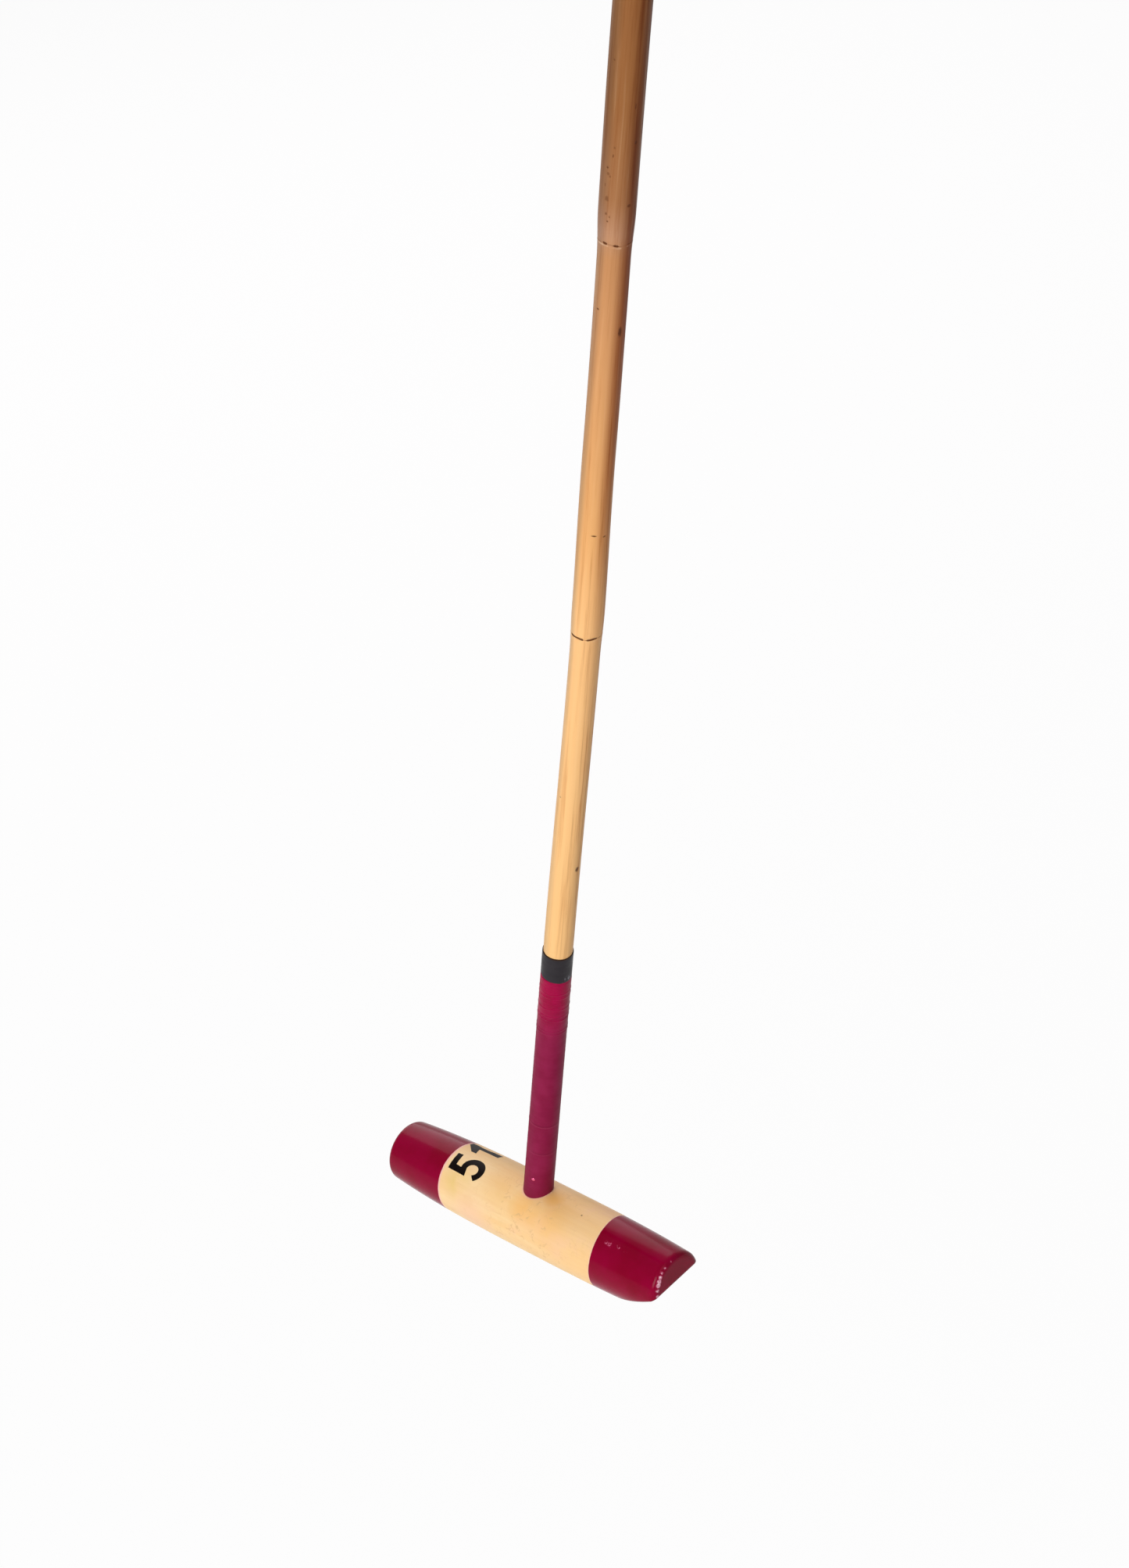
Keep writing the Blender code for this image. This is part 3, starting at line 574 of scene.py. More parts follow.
def head_rings():
    """Rays from a spine inside the head, tilted at its ends, each met with its skin."""
    around, cap, body = 168, 50, 150  # rays round it, over each end and along it
    inset = 20 * MM
    rise = 10 * MM  # of the spine at the heel, to stay clear of the bevel
    rise_from = 40 * MM
    turn = full_turn(around)
    spine = np.linspace(-TOE_LENGTH + inset, HEEL_LENGTH - inset, body)
    spine = np.concatenate([[spine[0]] * (cap - 1), spine, [spine[-1]] * (cap - 1)])
    quarter = math.pi / 2 * np.arange(1, cap) / cap
    tilt = np.concatenate([quarter, [math.pi / 2] * body, math.pi - quarter[::-1]])
    start = np.zeros((len(spine), around, 3))
    start[..., 0] = spine[:, None]
    lift = ease((spine - rise_from) / (HEEL_LENGTH - inset - rise_from))
    start[..., 2] = (rise * lift)[:, None]
    aim = np.zeros_like(start)
    aim[..., 0] = -np.cos(tilt)[:, None]
    aim[..., 1] = np.sin(tilt)[:, None] * np.cos(turn)
    aim[..., 2] = np.sin(tilt)[:, None] * np.sin(turn)
    far = how_far(start.shape[:2], lambda far: head_field(start + aim * far[..., None]) > 0)
    return start + aim * far[..., None]


def up_to_head(radius, turn, side, grown=0.0):
    """How far up the shaft lines round it meet the head's skin: its top at side 1, or below."""
    x, y = radius * np.cos(turn), radius * np.sin(turn)
    lean = np.array(SHAFT.to_3x3()).T

    def outside(far):
        return head_field(np.stack([x, y, far * side], axis=-1) @ lean) > grown

    return how_far(x.shape, outside) * side


def build_head(finish):
    rings = head_rings()
    mesh = skin("mallet_head_finished", rings + np.array(FOOT))
    points = np.array([v.co for v in mesh.vertices]) - np.array(FOOT)
    note(mesh, "edge", head_edges(points))
    made = keep("head_lacquered", mesh, finish)
    carved(made, rod("bore", FOOT_DIAMETER / 2 + GAP, -FAR / 2, FAR / 2))
    fitted(made, "painted_head", "mallet_head", angle=50)


NUMBER_START = -60.9 * MM  # along the head
PAINT_PROUD = 0.04 * MM


def oval(centre, size, start, end, steps):
    """Points along part of an oval, from one angle in degrees to another."""
    turn = np.radians(np.linspace(start, end, steps))
    return list(zip(centre[0] + size[0] * np.cos(turn), centre[1] - size[1] * np.sin(turn)))


def figures():
    """How far round the head each figure starts, and its outline in (right, down), in mm."""
    bowl = oval((6.7, 17.8), (7.8, 8.9), 99, -150, 28)
    hollow = oval((6.4, 17.7), (3.6, 4.4), -159, 114, 22)
    five = [(2.1, 0.2), (13.9, 0.2), (13.9, 4.3), (6.1, 4.6), *bowl, *hollow, (0.8, 14.6)]
    one = [(7.9, -1.2), (11.6, -1.2), (11.6, 23.6), (6.3, 23.6)]
    return (53.0, five), (35.1, one + [(6.5, 8.2), (1.0, 10.0), (1.2, 5.9)])


def build_number(finish):
    """The mallet's length in inches, in plain block figures laid round the head."""
    form = bmesh.new()
    for left, outline in figures():
        points = [((left - right) * MM, NUMBER_START + down * MM, 0) for right, down in outline]
        form.faces.new([form.verts.new(point) for point in points])
    bmesh.ops.triangulate(form, faces=form.faces[:])
    for round_it in range(20, 54):
        cut_across(form, (round_it * MM, 0, 0), (1, 0, 0))
    made = bmesh.ops.extrude_face_region(form, geom=form.faces[:], use_keep_orig=True)
    raised = {item for item in made["geom"] if isinstance(item, bmesh.types.BMVert)}
    for corner in form.verts:
        round_it, x, _ = corner.co
        radius = float(head_radius(x))
        turn = round_it / radius
        radius += PAINT_PROUD if corner in raised else -0.1 * MM
        corner.co = Vector(on_head(x, radius, turn)) + FOOT
    bmesh.ops.recalc_face_normals(form, faces=form.faces[:])
    mesh = bpy.data.meshes.new("number")
    form.to_mesh(mesh)
    form.free()
    fitted(keep("head_number_paint", mesh, finish), "painted_head", angle=30)


# Cane

FOOT_END = 34 * MM  # up the shaft, where the cane's foot is plain round
# Each scar: how far up the shaft, the seed of its line, and where round it the line gapes
SCARS = (
    (474.9 * MM, 5, ((-118, -62), (-48, -8), (100, 150))),
    (729.8 * MM, 11, ((-92, -77), (-53, -38), (60, 120))),
    (987 * MM, 23, ((-100, -20), (80, 110))),
)


def cane_radius(up):
    up = np.asarray(up, float)
    diameter = np.full(up.shape, INTERNODES[0][1])
    for i, (start, first, last) in enumerate(INTERNODES):
        before = INTERNODES[i - 1][2] if i else first
        end = INTERNODES[i + 1][0] if i + 1 < len(INTERNODES) else GRIP_BOTTOM
        along = np.clip((up - start - NODE_ABOVE) / (end - NODE_BELOW - start - NODE_ABOVE), 0, 1)
        thinned = first + (last - first) * np.sin(math.pi / 2 * along)
        swell = ease((up - start + NODE_BELOW) / (NODE_BELOW + NODE_ABOVE))
        diameter = np.where(up < start - NODE_BELOW, diameter, before + (thinned - before) * swell)
    foot = ease((up - FOOT_TOP) / FOOT_TAPER)
    radius = (FOOT_DIAMETER + (diameter - FOOT_DIAMETER) * foot) / 2
    return np.where(up > GRIP_BOTTOM - GAP, SHAVED_DIAMETER / 2, radius)


def cane_bend(up):
    bends = [*BENDS, (GRIP_BOTTOM - STRAIGHT_BELOW_GRIP, 0.0)]
    up = np.asarray(up, float)
    bend = np.zeros(up.shape)
    for (low, first), (high, last) in zip(bends, bends[1:]):
        here = (up > low) & (up <= high)
        bend = np.where(here, first + (last - first) * ease((up - low) / (high - low)), bend)
    return bend


def scar_relief(up, turn):
    """Depth of the leaf scars at each point, and how dark they are, or below 0 how pale."""
    depth, dark = np.zeros(up.shape), np.zeros(up.shape)
    for place, seed, gapes in SCARS:
        line = place + 0.5 * MM * ripple(seed, turn, 6)
        broken = np.full(up.shape, 0.22)
        for start, end in gapes:
            middle, half = math.radians(start + end) / 2, math.radians(end - start) / 2
            off = np.abs(np.angle(np.exp(1j * (turn - middle))))
            broken = np.maximum(broken, ease((half + 0.06 - off) / 0.12))
        broken = np.clip(broken * (1 + 0.4 * ripple(seed + 2, turn, 9, 4)), 0, 1)
        wide = (0.22 + 0.45 * broken) * MM
        crack = np.exp(-(((up - line) / wide) ** 2))
        lip = np.exp(-(((up - line + 1.1 * MM) / (0.5 * MM)) ** 2))
        depth += crack * (0.08 + 0.3 * broken) * MM - lip * (0.04 + 0.08 * broken) * MM
        dark += crack * broken - 0.5 * lip
    return depth, dark


def cane_heights():
    """Places of the cane's rings up the shaft, close together at its scars."""
    heights = list(np.arange(FOOT_END + 2 * MM, GRIP_BOTTOM - 2 * GAP, 4 * MM))
    for place, *_ in SCARS:
        heights = [up for up in heights if abs(up - place) > 3.2 * MM]
        heights += list(np.arange(place - 3 * MM, place + 3 * MM, 0.16 * MM))
    return np.array(sorted(heights))


def build_cane(finish):
    turn = full_turn(96)
    foot = FOOT_DIAMETER / 2
    rings = []
    for share in np.linspace(0.08, 0.97, 9):  # the sawn end, flush with the head's underside
        rings.append(ring(foot * share, turn, up_to_head(foot * share, turn, -1)))
    end = up_to_head(foot, turn, -1) + 0.2 * MM
    for share in np.linspace(0, 1, 6):
        rings.append(ring(foot, turn, end * (1 - share) + FOOT_END * share))
    up, turns = np.meshgrid(cane_heights(), turn, indexing="ij")
    depth, dark = scar_relief(up, turns)
    uneven = 1 + 0.006 * np.cos(2 * turns + 5 * up) + 0.0025 * ripple(3, turns + 2 * up, 9, 3)
    bare = ease((up - TAPE_TOP + 8 * MM) / (6 * MM)) * ease((GRIP_BOTTOM - up) / (12 * MM))
    radius = cane_radius(up) * (1 + (uneven - 1) * bare) + 0.12 * MM * bare - depth
    shaft = ring(radius, turns, up)
    shaft[..., 0] += cane_bend(up)
    shaved = SHAVED_DIAMETER / 2
    ends = ((shaved, GRIP_BOTTOM - GAP / 2), (shaved, GRIP_TOP), (1 * MM, GRIP_TOP))
    ends = np.array([ring(size, turn, height) for size, height in ends])
    mesh = skin("cane", on_shaft(np.concatenate([np.array(rings), shaft, ends])))
    scars = np.zeros(len(mesh.vertices))
    plain = len(rings) * len(turn)
    scars[plain : plain + dark.size] = dark.ravel()
    note(mesh, "scar", scars)
    made = keep("cane_natural", mesh, finish)

    slope = (WEDGE_THICK - WEDGE_THIN) / 2 / WEDGE_LENGTH
    low = -UNDER_HEAD - SAWN_OFF
    thick = WEDGE_THIN / 2 + slope * (WEDGE_TIP - low) + GAP
    thin = WEDGE_THIN / 2 + GAP
    top = WEDGE_TIP + GAP
    kerf = [(-thick, low), (thick, low), (thin, top), (-thin, top)]
    carved(made, prism("kerf", kerf, FAR))
    fitted(made, "cane", "cane_shaft", angle=50)


# Neck

BINDING_INSIDE_TOP = 120 * MM  # where the sleeve's inner wall has one more ring
RIBBED_FROM = 166 * MM  # the whipping shows as ribs above this height
BINDING_PROUD = 0.08 * MM  # of the model's own sleeve, and once more under the whipping
# Turns of the binding that stand out: how far up the shaft, and how proud
BINDING_JOINS = ((63.2 * MM, 0.04 * MM), (87.6 * MM, 0.06 * MM))
JOIN_WIDTH = 0.7 * MM
PROUD_TURNS = (168, 170.6, 179.8, 183.1, 188.7, 198.1, 201.4)  # mm up
TURN_PROUD, TURN_WIDTH = 0.19 * MM, 0.34 * MM


def binding_radius(up):
    """The binding's outside, drawn in a little over the cane and built up under the whipping."""
    thin = (BINDING_FOOT_THICKNESS - BINDING_TOP_THICKNESS) / TAPE_BOTTOM
    radius = FOOT_DIAMETER / 2 + GAP + BINDING_FOOT_THICKNESS - thin * np.asarray(up, float)
    return radius + BINDING_PROUD + BINDING_PROUD * ease((up - RIBBED_FROM) / (20 * MM))


def build_neck(finish, ribbed):
    turn = full_turn(120)
    inner = FOOT_DIAMETER / 2 + GAP
    top = TAPE_BOTTOM - GAP
    rim = inner + BINDING_FOOT_THICKNESS + BINDING_PROUD
    foot = up_to_head(rim, turn, 1, GAP / 3)
    rows = [(inner, up_to_head(inner, turn, 1, GAP / 3))]
    rows += [(rim - 0.35 * MM, foot), (rim - 0.1 * MM, foot + 0.1 * MM)]
    start = float(foot.max()) + 1 * MM
    for share in np.linspace(0, 1, 6):
        rows.append((rim, (foot + 0.4 * MM) * (1 - share) + start * share))
    ribs = [(at * MM, TURN_PROUD, TURN_WIDTH) for at in PROUD_TURNS]
    ribs += [(at, proud, JOIN_WIDTH) for at, proud in BINDING_JOINS]
    heights = set(np.arange(start + 0.8 * MM, top - 0.3 * MM, 0.8 * MM))
    for at, _, wide in ribs:
        heights |= set(np.arange(at - 3 * wide, at + 3 * wide, wide / 2.5))
    for up in sorted(heights):
        radius = binding_radius(up) + 0.03 * MM * ripple(int(up * 1000), turn, 3)
        for place, proud, wide in ribs:
            line = place + 0.25 * MM * ripple(int(place * 10000), turn, 3)
            radius += proud * np.exp(-(((up - line) / wide) ** 2))
        rows.append((radius, up))
    rows += [(rows[-1][0] - 0.1 * MM, top), (inner, top), (inner, BINDING_INSIDE_TOP)]
    made = keep("neck_binding_matt", sleeve("binding", turn, rows), finish)
    fitted(made, "maroon_binding", "neck_binding", angle=50)

    thread = 0.44 * MM
    whipping = from_tree(
        "neck_whipping",
        whipping_tree(),
        Bottom=RIBBED_FROM,
        Top=top - 0.2 * MM,
        Pitch=0.82 * MM,
        Radius=float(binding_radius(top)) - thread + 0.07 * MM,
        Thread=thread,
        Unevenness=0.3 * MM,
        Fade=14 * MM,
        Finish=ribbed,
    )
    whipping.data.transform(SHAFT)
    fitted(whipping, "maroon_binding")


def build_collar(finish):
    """The tape's two edges waver a little, and its lower edge dips towards the heel."""
    turn = full_turn(120)
    inner = float(cane_radius(TAPE_TOP)) + GAP * 0.4
    dip = 0.9 * MM * np.cos(turn + 2.6)
    bottom = TAPE_BOTTOM - 0.3 * MM + dip + 0.15 * MM * ripple(8, turn, 6)
    top = TAPE_TOP + 0.08 * MM * ripple(9, turn, 5)
    lap = np.clip((turn - 3.4) / 0.02, 0, 1) * np.clip((4.6 - turn) / 1.2, 0, 1) * 0.08 * MM
    outer = inner + TAPE_THICKNESS + 0.03 * MM + lap
    rows = [(inner, bottom), (outer - 0.25 * MM, bottom), (outer - 0.08 * MM, bottom + 0.06 * MM)]
    for share in np.linspace(0.02, 0.98, 24):
        crease = 0.04 * MM * ripple(int(share * 40), turn, 5)
        rows.append((outer + crease, bottom * (1 - share) + top * share))
    rows += [(outer - 0.08 * MM, top - 0.06 * MM), (outer - 0.25 * MM, top), (inner, top)]
    made = keep("collar_tape_satin", sleeve("tape", turn, rows), finish)
    fitted(made, "black_tape", "collar_tape", angle=50)


# Grip

CORE_SEAM = GAP / 4  # between the two halves, on each side of their middle
WOUND_WIDER, WOUND_THICKER = 0.9 * MM, 0.2 * MM  # than the model's own winding
STITCH_LIFT = 0.08 * MM  # of a stitch's middle from the leather
STITCH_SIZES = {"Pitch": 2.9 * MM, "Length": 2.1 * MM, "Thread": 0.55 * MM}


def oblong(half_x, half_y, corner, steps=10):
    """Points round a rounded oblong, anticlockwise from its +X side."""
    points = []
    for quarter in range(4):
        across = (half_x - corner) * (1, -1, -1, 1)[quarter]
        along = (half_y - corner) * (1, 1, -1, -1)[quarter]
        for step in range(steps + 1):
            angle = math.radians(90 * (quarter + step / steps))
            points.append((across + corner * math.cos(angle), along + corner * math.sin(angle)))
    return points


def core_ring(up, grown=0.0):
    """A ring round the grip's core, grown outwards."""
    foot = min(max((up - GRIP_BOTTOM) / GRIP_FOOT_LENGTH, 0), 1)
    flare = float(ease((up - GRIP_TOP + FLARE_LENGTH) / FLARE_LENGTH / 2) * 2) * FLARE_GROWTH
    round_half = GRIP_FOOT / 2
    half_x = round_half + (GRIP_ALONG / 2 - round_half) * foot + flare + grown
    half_y = round_half + (GRIP_ACROSS / 2 - round_half) * foot + flare + grown
    corner = round_half * 0.99 + (GRIP_CORNER - round_half * 0.99) * foot + flare + grown
    return [(x, y, up) for x, y in oblong(half_x, half_y, corner)]


def rims(bottom, top, out, soft):
    """The two rounded corners of a section, in (up, out)."""
    angles = np.linspace(0, math.pi / 2, 5)
    sines, cosines = soft * (1 - np.sin(angles)), soft * (1 - np.cos(angles))
    return list(zip(bottom + cosines, out - sines)), list(zip(top - sines, out - cosines))


def band_mesh(name, bottom, top, thickness):
    """A leather band round the core, its rims rounded over."""
    soft = thickness * 0.35
    lower, upper = rims(bottom, top, thickness, soft)
    heights = bottom + soft + (top - bottom - 2 * soft) * np.linspace(0.08, 0.92, 10)
    side = [(up, thickness) for up in heights]
    section = [(bottom, 0.0), *lower, *side, *upper, (top, 0.0)]
    rings = [core_ring(up, GAP + grown) for up, grown in section]
    return skin(name, on_shaft(rings), loop=True)


def cut_level(mesh, low, high):
    """Cuts a mesh off level at two heights and closes it there."""
    form = bmesh.new()
    form.from_mesh(mesh)
    for up, side in ((low, -1), (high, 1)):
        cut = cut_across(form, (0, 0, up), (0, 0, side), clear_outer=True)["geom_cut"]
        edges = [item for item in cut if isinstance(item, bmesh.types.BMEdge)]
        closed = bmesh.ops.edgeloop_fill(form, edges=edges)["faces"]
        bmesh.ops.triangulate(form, faces=closed)
    form.to_mesh(mesh)
    form.free()


def stitched(name, grown, heights, thread):
    """Rows of stitches round the core, so far out from it, at two heights."""
    points, edges = [], []
    for up in heights:
        row = core_ring(up, grown)
        first, count = len(points), len(row)
        points += row
        edges += [(first + i, first + (i + 1) % count) for i in range(count)]
    mesh = bpy.data.meshes.new(name)
    mesh.from_pydata(on_shaft(points).tolist(), edges, [])
    fitted(from_tree(name, stitch_tree(), mesh, **STITCH_SIZES, Finish=thread), "grip_webbing")


def build_band(node, bottom, top, thickness, inset, leather, thread):
    """A stitched leather band; its stitches run so far in from its two rims."""
    mesh = band_mesh("band", bottom, top, thickness)
    fitted(keep(node + "_leather", mesh, leather), "black_leather", node, angle=50)
    heights = (bottom + inset, top - inset)
    stitched(node + "_stitches", GAP + thickness + STITCH_LIFT, heights, thread)


def build_grip(wood, leather, webbing, thread):
    foot_top = GRIP_BOTTOM + GRIP_FOOT_LENGTH
    heights = [*np.linspace(GRIP_BOTTOM, foot_top, 6)]
    heights += [*np.linspace(foot_top, GRIP_TOP - FLARE_LENGTH, 12)][1:]
    heights += [*np.linspace(GRIP_TOP - FLARE_LENGTH, GRIP_TOP, 10)][1:]
    bore = SHAVED_DIAMETER / 2 + GAP
    floor = ANCHOR_OUT - SLING_THICKNESS - GAP
    low, top = SLING_BAND_BOTTOM + GAP, HINGE_UP + SLING_THICKNESS + 2 * GAP
    pocket = [(floor, low), (FAR, low), (FAR, top), (floor, top)]
    for sign, name in ((-1, "grip_scale_left"), (1, "grip_scale_right")):
        made = keep(name + "_wood", skin(name, on_shaft([core_ring(up) for up in heights])), wood)
        low, high = sorted((sign * CORE_SEAM, -sign * FAR))
        outline = [(-FAR, low), (FAR, low), (FAR, high), (-FAR, high)]
        half = [[(*at, up) for at in outline] for up in (GRIP_BOTTOM - FAR, GRIP_TOP + FAR)]
        other = keep("seam", skin("seam", on_shaft(half)))
        cutters = [other, rod("core", bore, GRIP_BOTTOM - FAR, GRIP_TOP + FAR)]
        carved(made, *cutters, prism("pocket", pocket, SLING_WIDTH / 2 + GAP))
        fitted(made, "hardwood", name, angle=35)

    bottom = GRIP_BOTTOM + FOOT_BAND_MARGIN
    build_band("grip_foot_band", bottom, foot_top, FOOT_BAND_THICKNESS, 2 * MM, leather, thread)

    thickness = WINDING_THICKNESS + WOUND_THICKER
    grown = GAP + thickness / 2
    past = 0.6 * WINDING_PITCH  # each end runs on past its level cut
    winding = from_tree(
        "grip_winding_cotton",
        winding_tree(),
        Along=GRIP_ALONG + 2 * grown,
        Across=GRIP_ACROSS + 2 * grown,
        Corner=GRIP_CORNER + grown,
        Turns=(WINDING_TOP - WINDING_BOTTOM + 2 * past) / WINDING_PITCH,
        Pitch=WINDING_PITCH,
        Width=WINDING_WIDTH + WOUND_WIDER,
        Thickness=thickness,
        Finish=webbing,
    )
    winding.data.transform(Matrix.Translation((0, 0, WINDING_BOTTOM - past)))
    cut_level(winding.data, WINDING_BOTTOM, WINDING_TOP)
    winding.data.transform(SHAFT)
    fitted(winding, "grip_webbing", "grip_winding")


def build_sling_band(leather, thread):
    sizes = SLING_BAND_BOTTOM, SLING_BAND_TOP, SLING_BAND_THICKNESS
    build_band("sling_band", *sizes, 2.2 * MM, leather, thread)


def build_cap(leather):
    lower, upper = rims(CAP_BOTTOM, BUTT, BUTT_CAP_OVERHANG, 0.9 * MM)
    rings = []
    for up, grown in lower + upper:
        rings.append([(x, y, up) for x, y, _ in core_ring(GRIP_TOP, grown)])
    cap = keep("butt_cap_leather", skin("cap", on_shaft(rings)), leather)
    fitted(cap, "black_leather", "butt_cap", angle=50)


# Tacks


def tack(node, kind, finish, place, facing, head):
    """A domed tack head on a short neck, at a place in the shaft's frame and facing out."""
    name = f"{node}_{kind}"
    turn, steps = full_turn(40), 12
    profile = [(head * 0.3, -0.6 * MM), (head * 0.3, 0.0), (head * 0.9, 0.0)]
    for step in range(1, steps):
        angle = math.pi / 2 * step / steps
        profile.append((head * math.cos(angle), head * TACK_DOME * math.sin(angle)))
    mesh = skin(name, [ring(radius, turn, up) for radius, up in profile])
    aim = (SHAFT.to_3x3() @ Vector(facing)).to_track_quat("Z", "Y").to_matrix().to_4x4()
    mesh.transform(Matrix.Translation(SHAFT @ Vector(place)) @ aim)
    fitted(keep(name, mesh, finish), f"{kind}_tack", node, angle=50)


def build_tacks(copper, brass):
    thinning = (BINDING_FOOT_THICKNESS - BINDING_TOP_THICKNESS) * NECK_TACK_UP / TAPE_BOTTOM
    out = FOOT_DIAMETER / 2 + GAP + BINDING_FOOT_THICKNESS - thinning + GAP / 2
    facing = Vector((math.cos(NECK_TACK_TURN), math.sin(NECK_TACK_TURN), 0))
    place = facing * out + Vector((0, 0, NECK_TACK_UP))
    tack("binding_tack", "copper", copper, place, facing, NECK_TACK_HEAD)
    out = GRIP_ALONG / 2 + SLING_BAND_THICKNESS + 1.5 * GAP
    for up, node in zip(SLING_TACKS, ("sling_tack_lower", "sling_tack_upper")):
        tack(node, "brass", brass, (out, 0, up), (1, 0, 0), SLING_TACK_HEAD)
    tack("butt_tack", "brass", brass, (0, 0, BUTT + GAP / 2), (0, 0, 1), BUTT_TACK_HEAD)


# Sling

LOOP_FULLNESS = 0.6495  # the greatest that sin(a) * sin(a / 2) ** 2 comes to


def strap_path():
    """The strap's own line, in (x, z) from the hinge: out of its pocket in one layer, round the
    loop and back in the other.
    """
    cosine, sine = math.cos(SHAFT_LEAN), math.sin(SHAFT_LEAN)
    lean = np.array(((cosine, sine), (-sine, cosine))).T
    half = SLING_THICKNESS / 2
    fold = 2.6 * MM
    turn = math.pi / 2 - SHAFT_LEAN
    reach = fold * math.tan(turn / 2)
    low = SLING_BAND_BOTTOM + 2 * GAP - HINGE_UP
    inward = ANCHOR_OUT - HINGE_OUT
    middle = [(inward, z) for z in np.arange(low, -ANCHOR_BEND, 1.5 * MM)]
    for angle in np.linspace(0, math.pi / 2, 9):
        x = inward + ANCHOR_BEND * (1 - math.cos(angle))
        middle.append((x, -ANCHOR_BEND + ANCHOR_BEND * math.sin(angle)))
    middle.append((-(reach + 1.0 * MM), 0.0))
    centre = np.array((-reach, -fold))
    angles = np.linspace(0, turn, 9)
    arc = centre + fold * np.stack([np.sin(angles), np.cos(angles)], axis=1)
    middle = np.concatenate([middle, arc]) @ lean
    facing = np.gradient(middle, axis=0)
    facing = np.stack([-facing[:, 1], facing[:, 0]], axis=1)
    facing /= np.linalg.norm(facing, axis=1)[:, None]
    length = LOOP_LENGTH - half
    swing = (LOOP_OPENING / 2 + half) / LOOP_FULLNESS
    angles = np.linspace(0, 2 * math.pi, 360)
    x = swing * np.sin(angles) * np.sin(angles / 2) ** 2
    z = -length * (1 - np.cos(angles)) / 2
    x = np.where(angles < math.pi, 1, -1) * np.hypot(x, half)
    loop = np.stack([x, z], axis=1)[z < middle[-1][1] - 2.5 * MM]
    return np.concatenate([middle + facing * half, loop, (middle - facing * half)[::-1]])


def even_path(points, step):
    """The same line with its points an even step apart."""
    lengths = np.concatenate([[0], np.cumsum(np.linalg.norm(np.diff(points, axis=0), axis=1))])
    count = max(int(lengths[-1] / step), 2)
    wanted = np.linspace(0, lengths[-1], count)
    return np.stack([np.interp(wanted, lengths, points[:, i]) for i in range(2)], axis=1), wanted


def build_sling(webbing):
    points, along = even_path(strap_path(), 0.9 * MM)
    for _ in range(3):
        points[1:-1] = (points[:-2] + 2 * points[1:-1] + points[2:]) / 4
    way = np.gradient(points, axis=0)
    way /= np.linalg.norm(way, axis=1)[:, None]
    out = np.stack([-way[:, 1], way[:, 0]], axis=1)
    half = (SLING_THICKNESS - 0.1 * MM) / 2
    section = np.array(oblong(half, SLING_WIDTH / 2, half * 0.9, 4))
    rings = np.zeros((len(points), len(section), 3))
    rings[..., 0] = points[:, 0, None] + out[:, 0, None] * section[:, 0] + HINGE.x
    rings[..., 2] = points[:, 1, None] + out[:, 1, None] * section[:, 0] + HINGE.z
    rings[..., 1] = section[:, 1]
    mesh = skin("sling", rings)
    ends = along[[0, -1]]
    for name, values, last in (("along", along[:, None], ends), ("across", section[:, 1], [0, 0])):
        note(mesh, name, np.append(np.broadcast_to(values, rings.shape[:2]), last))
    made = smoothed(keep("hand_sling_webbing", mesh, webbing), 60)
    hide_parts("sling_anchor", "sling_loop")
    # Straight out from the shaft, so that what is in the pocket stays there
    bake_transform(made)


# Finishes


def tint(red, green, blue):
    """A colour given as it looks on a screen, 0 to 255."""
    made = []
    for value in (red, green, blue):
        share = value / 255
        made.append(share / 12.92 if share <= 0.04045 else ((share + 0.055) / 1.055) ** 2.4)
    return (*made, 1.0)


def grey(share):
    return (share, share, share, 1)


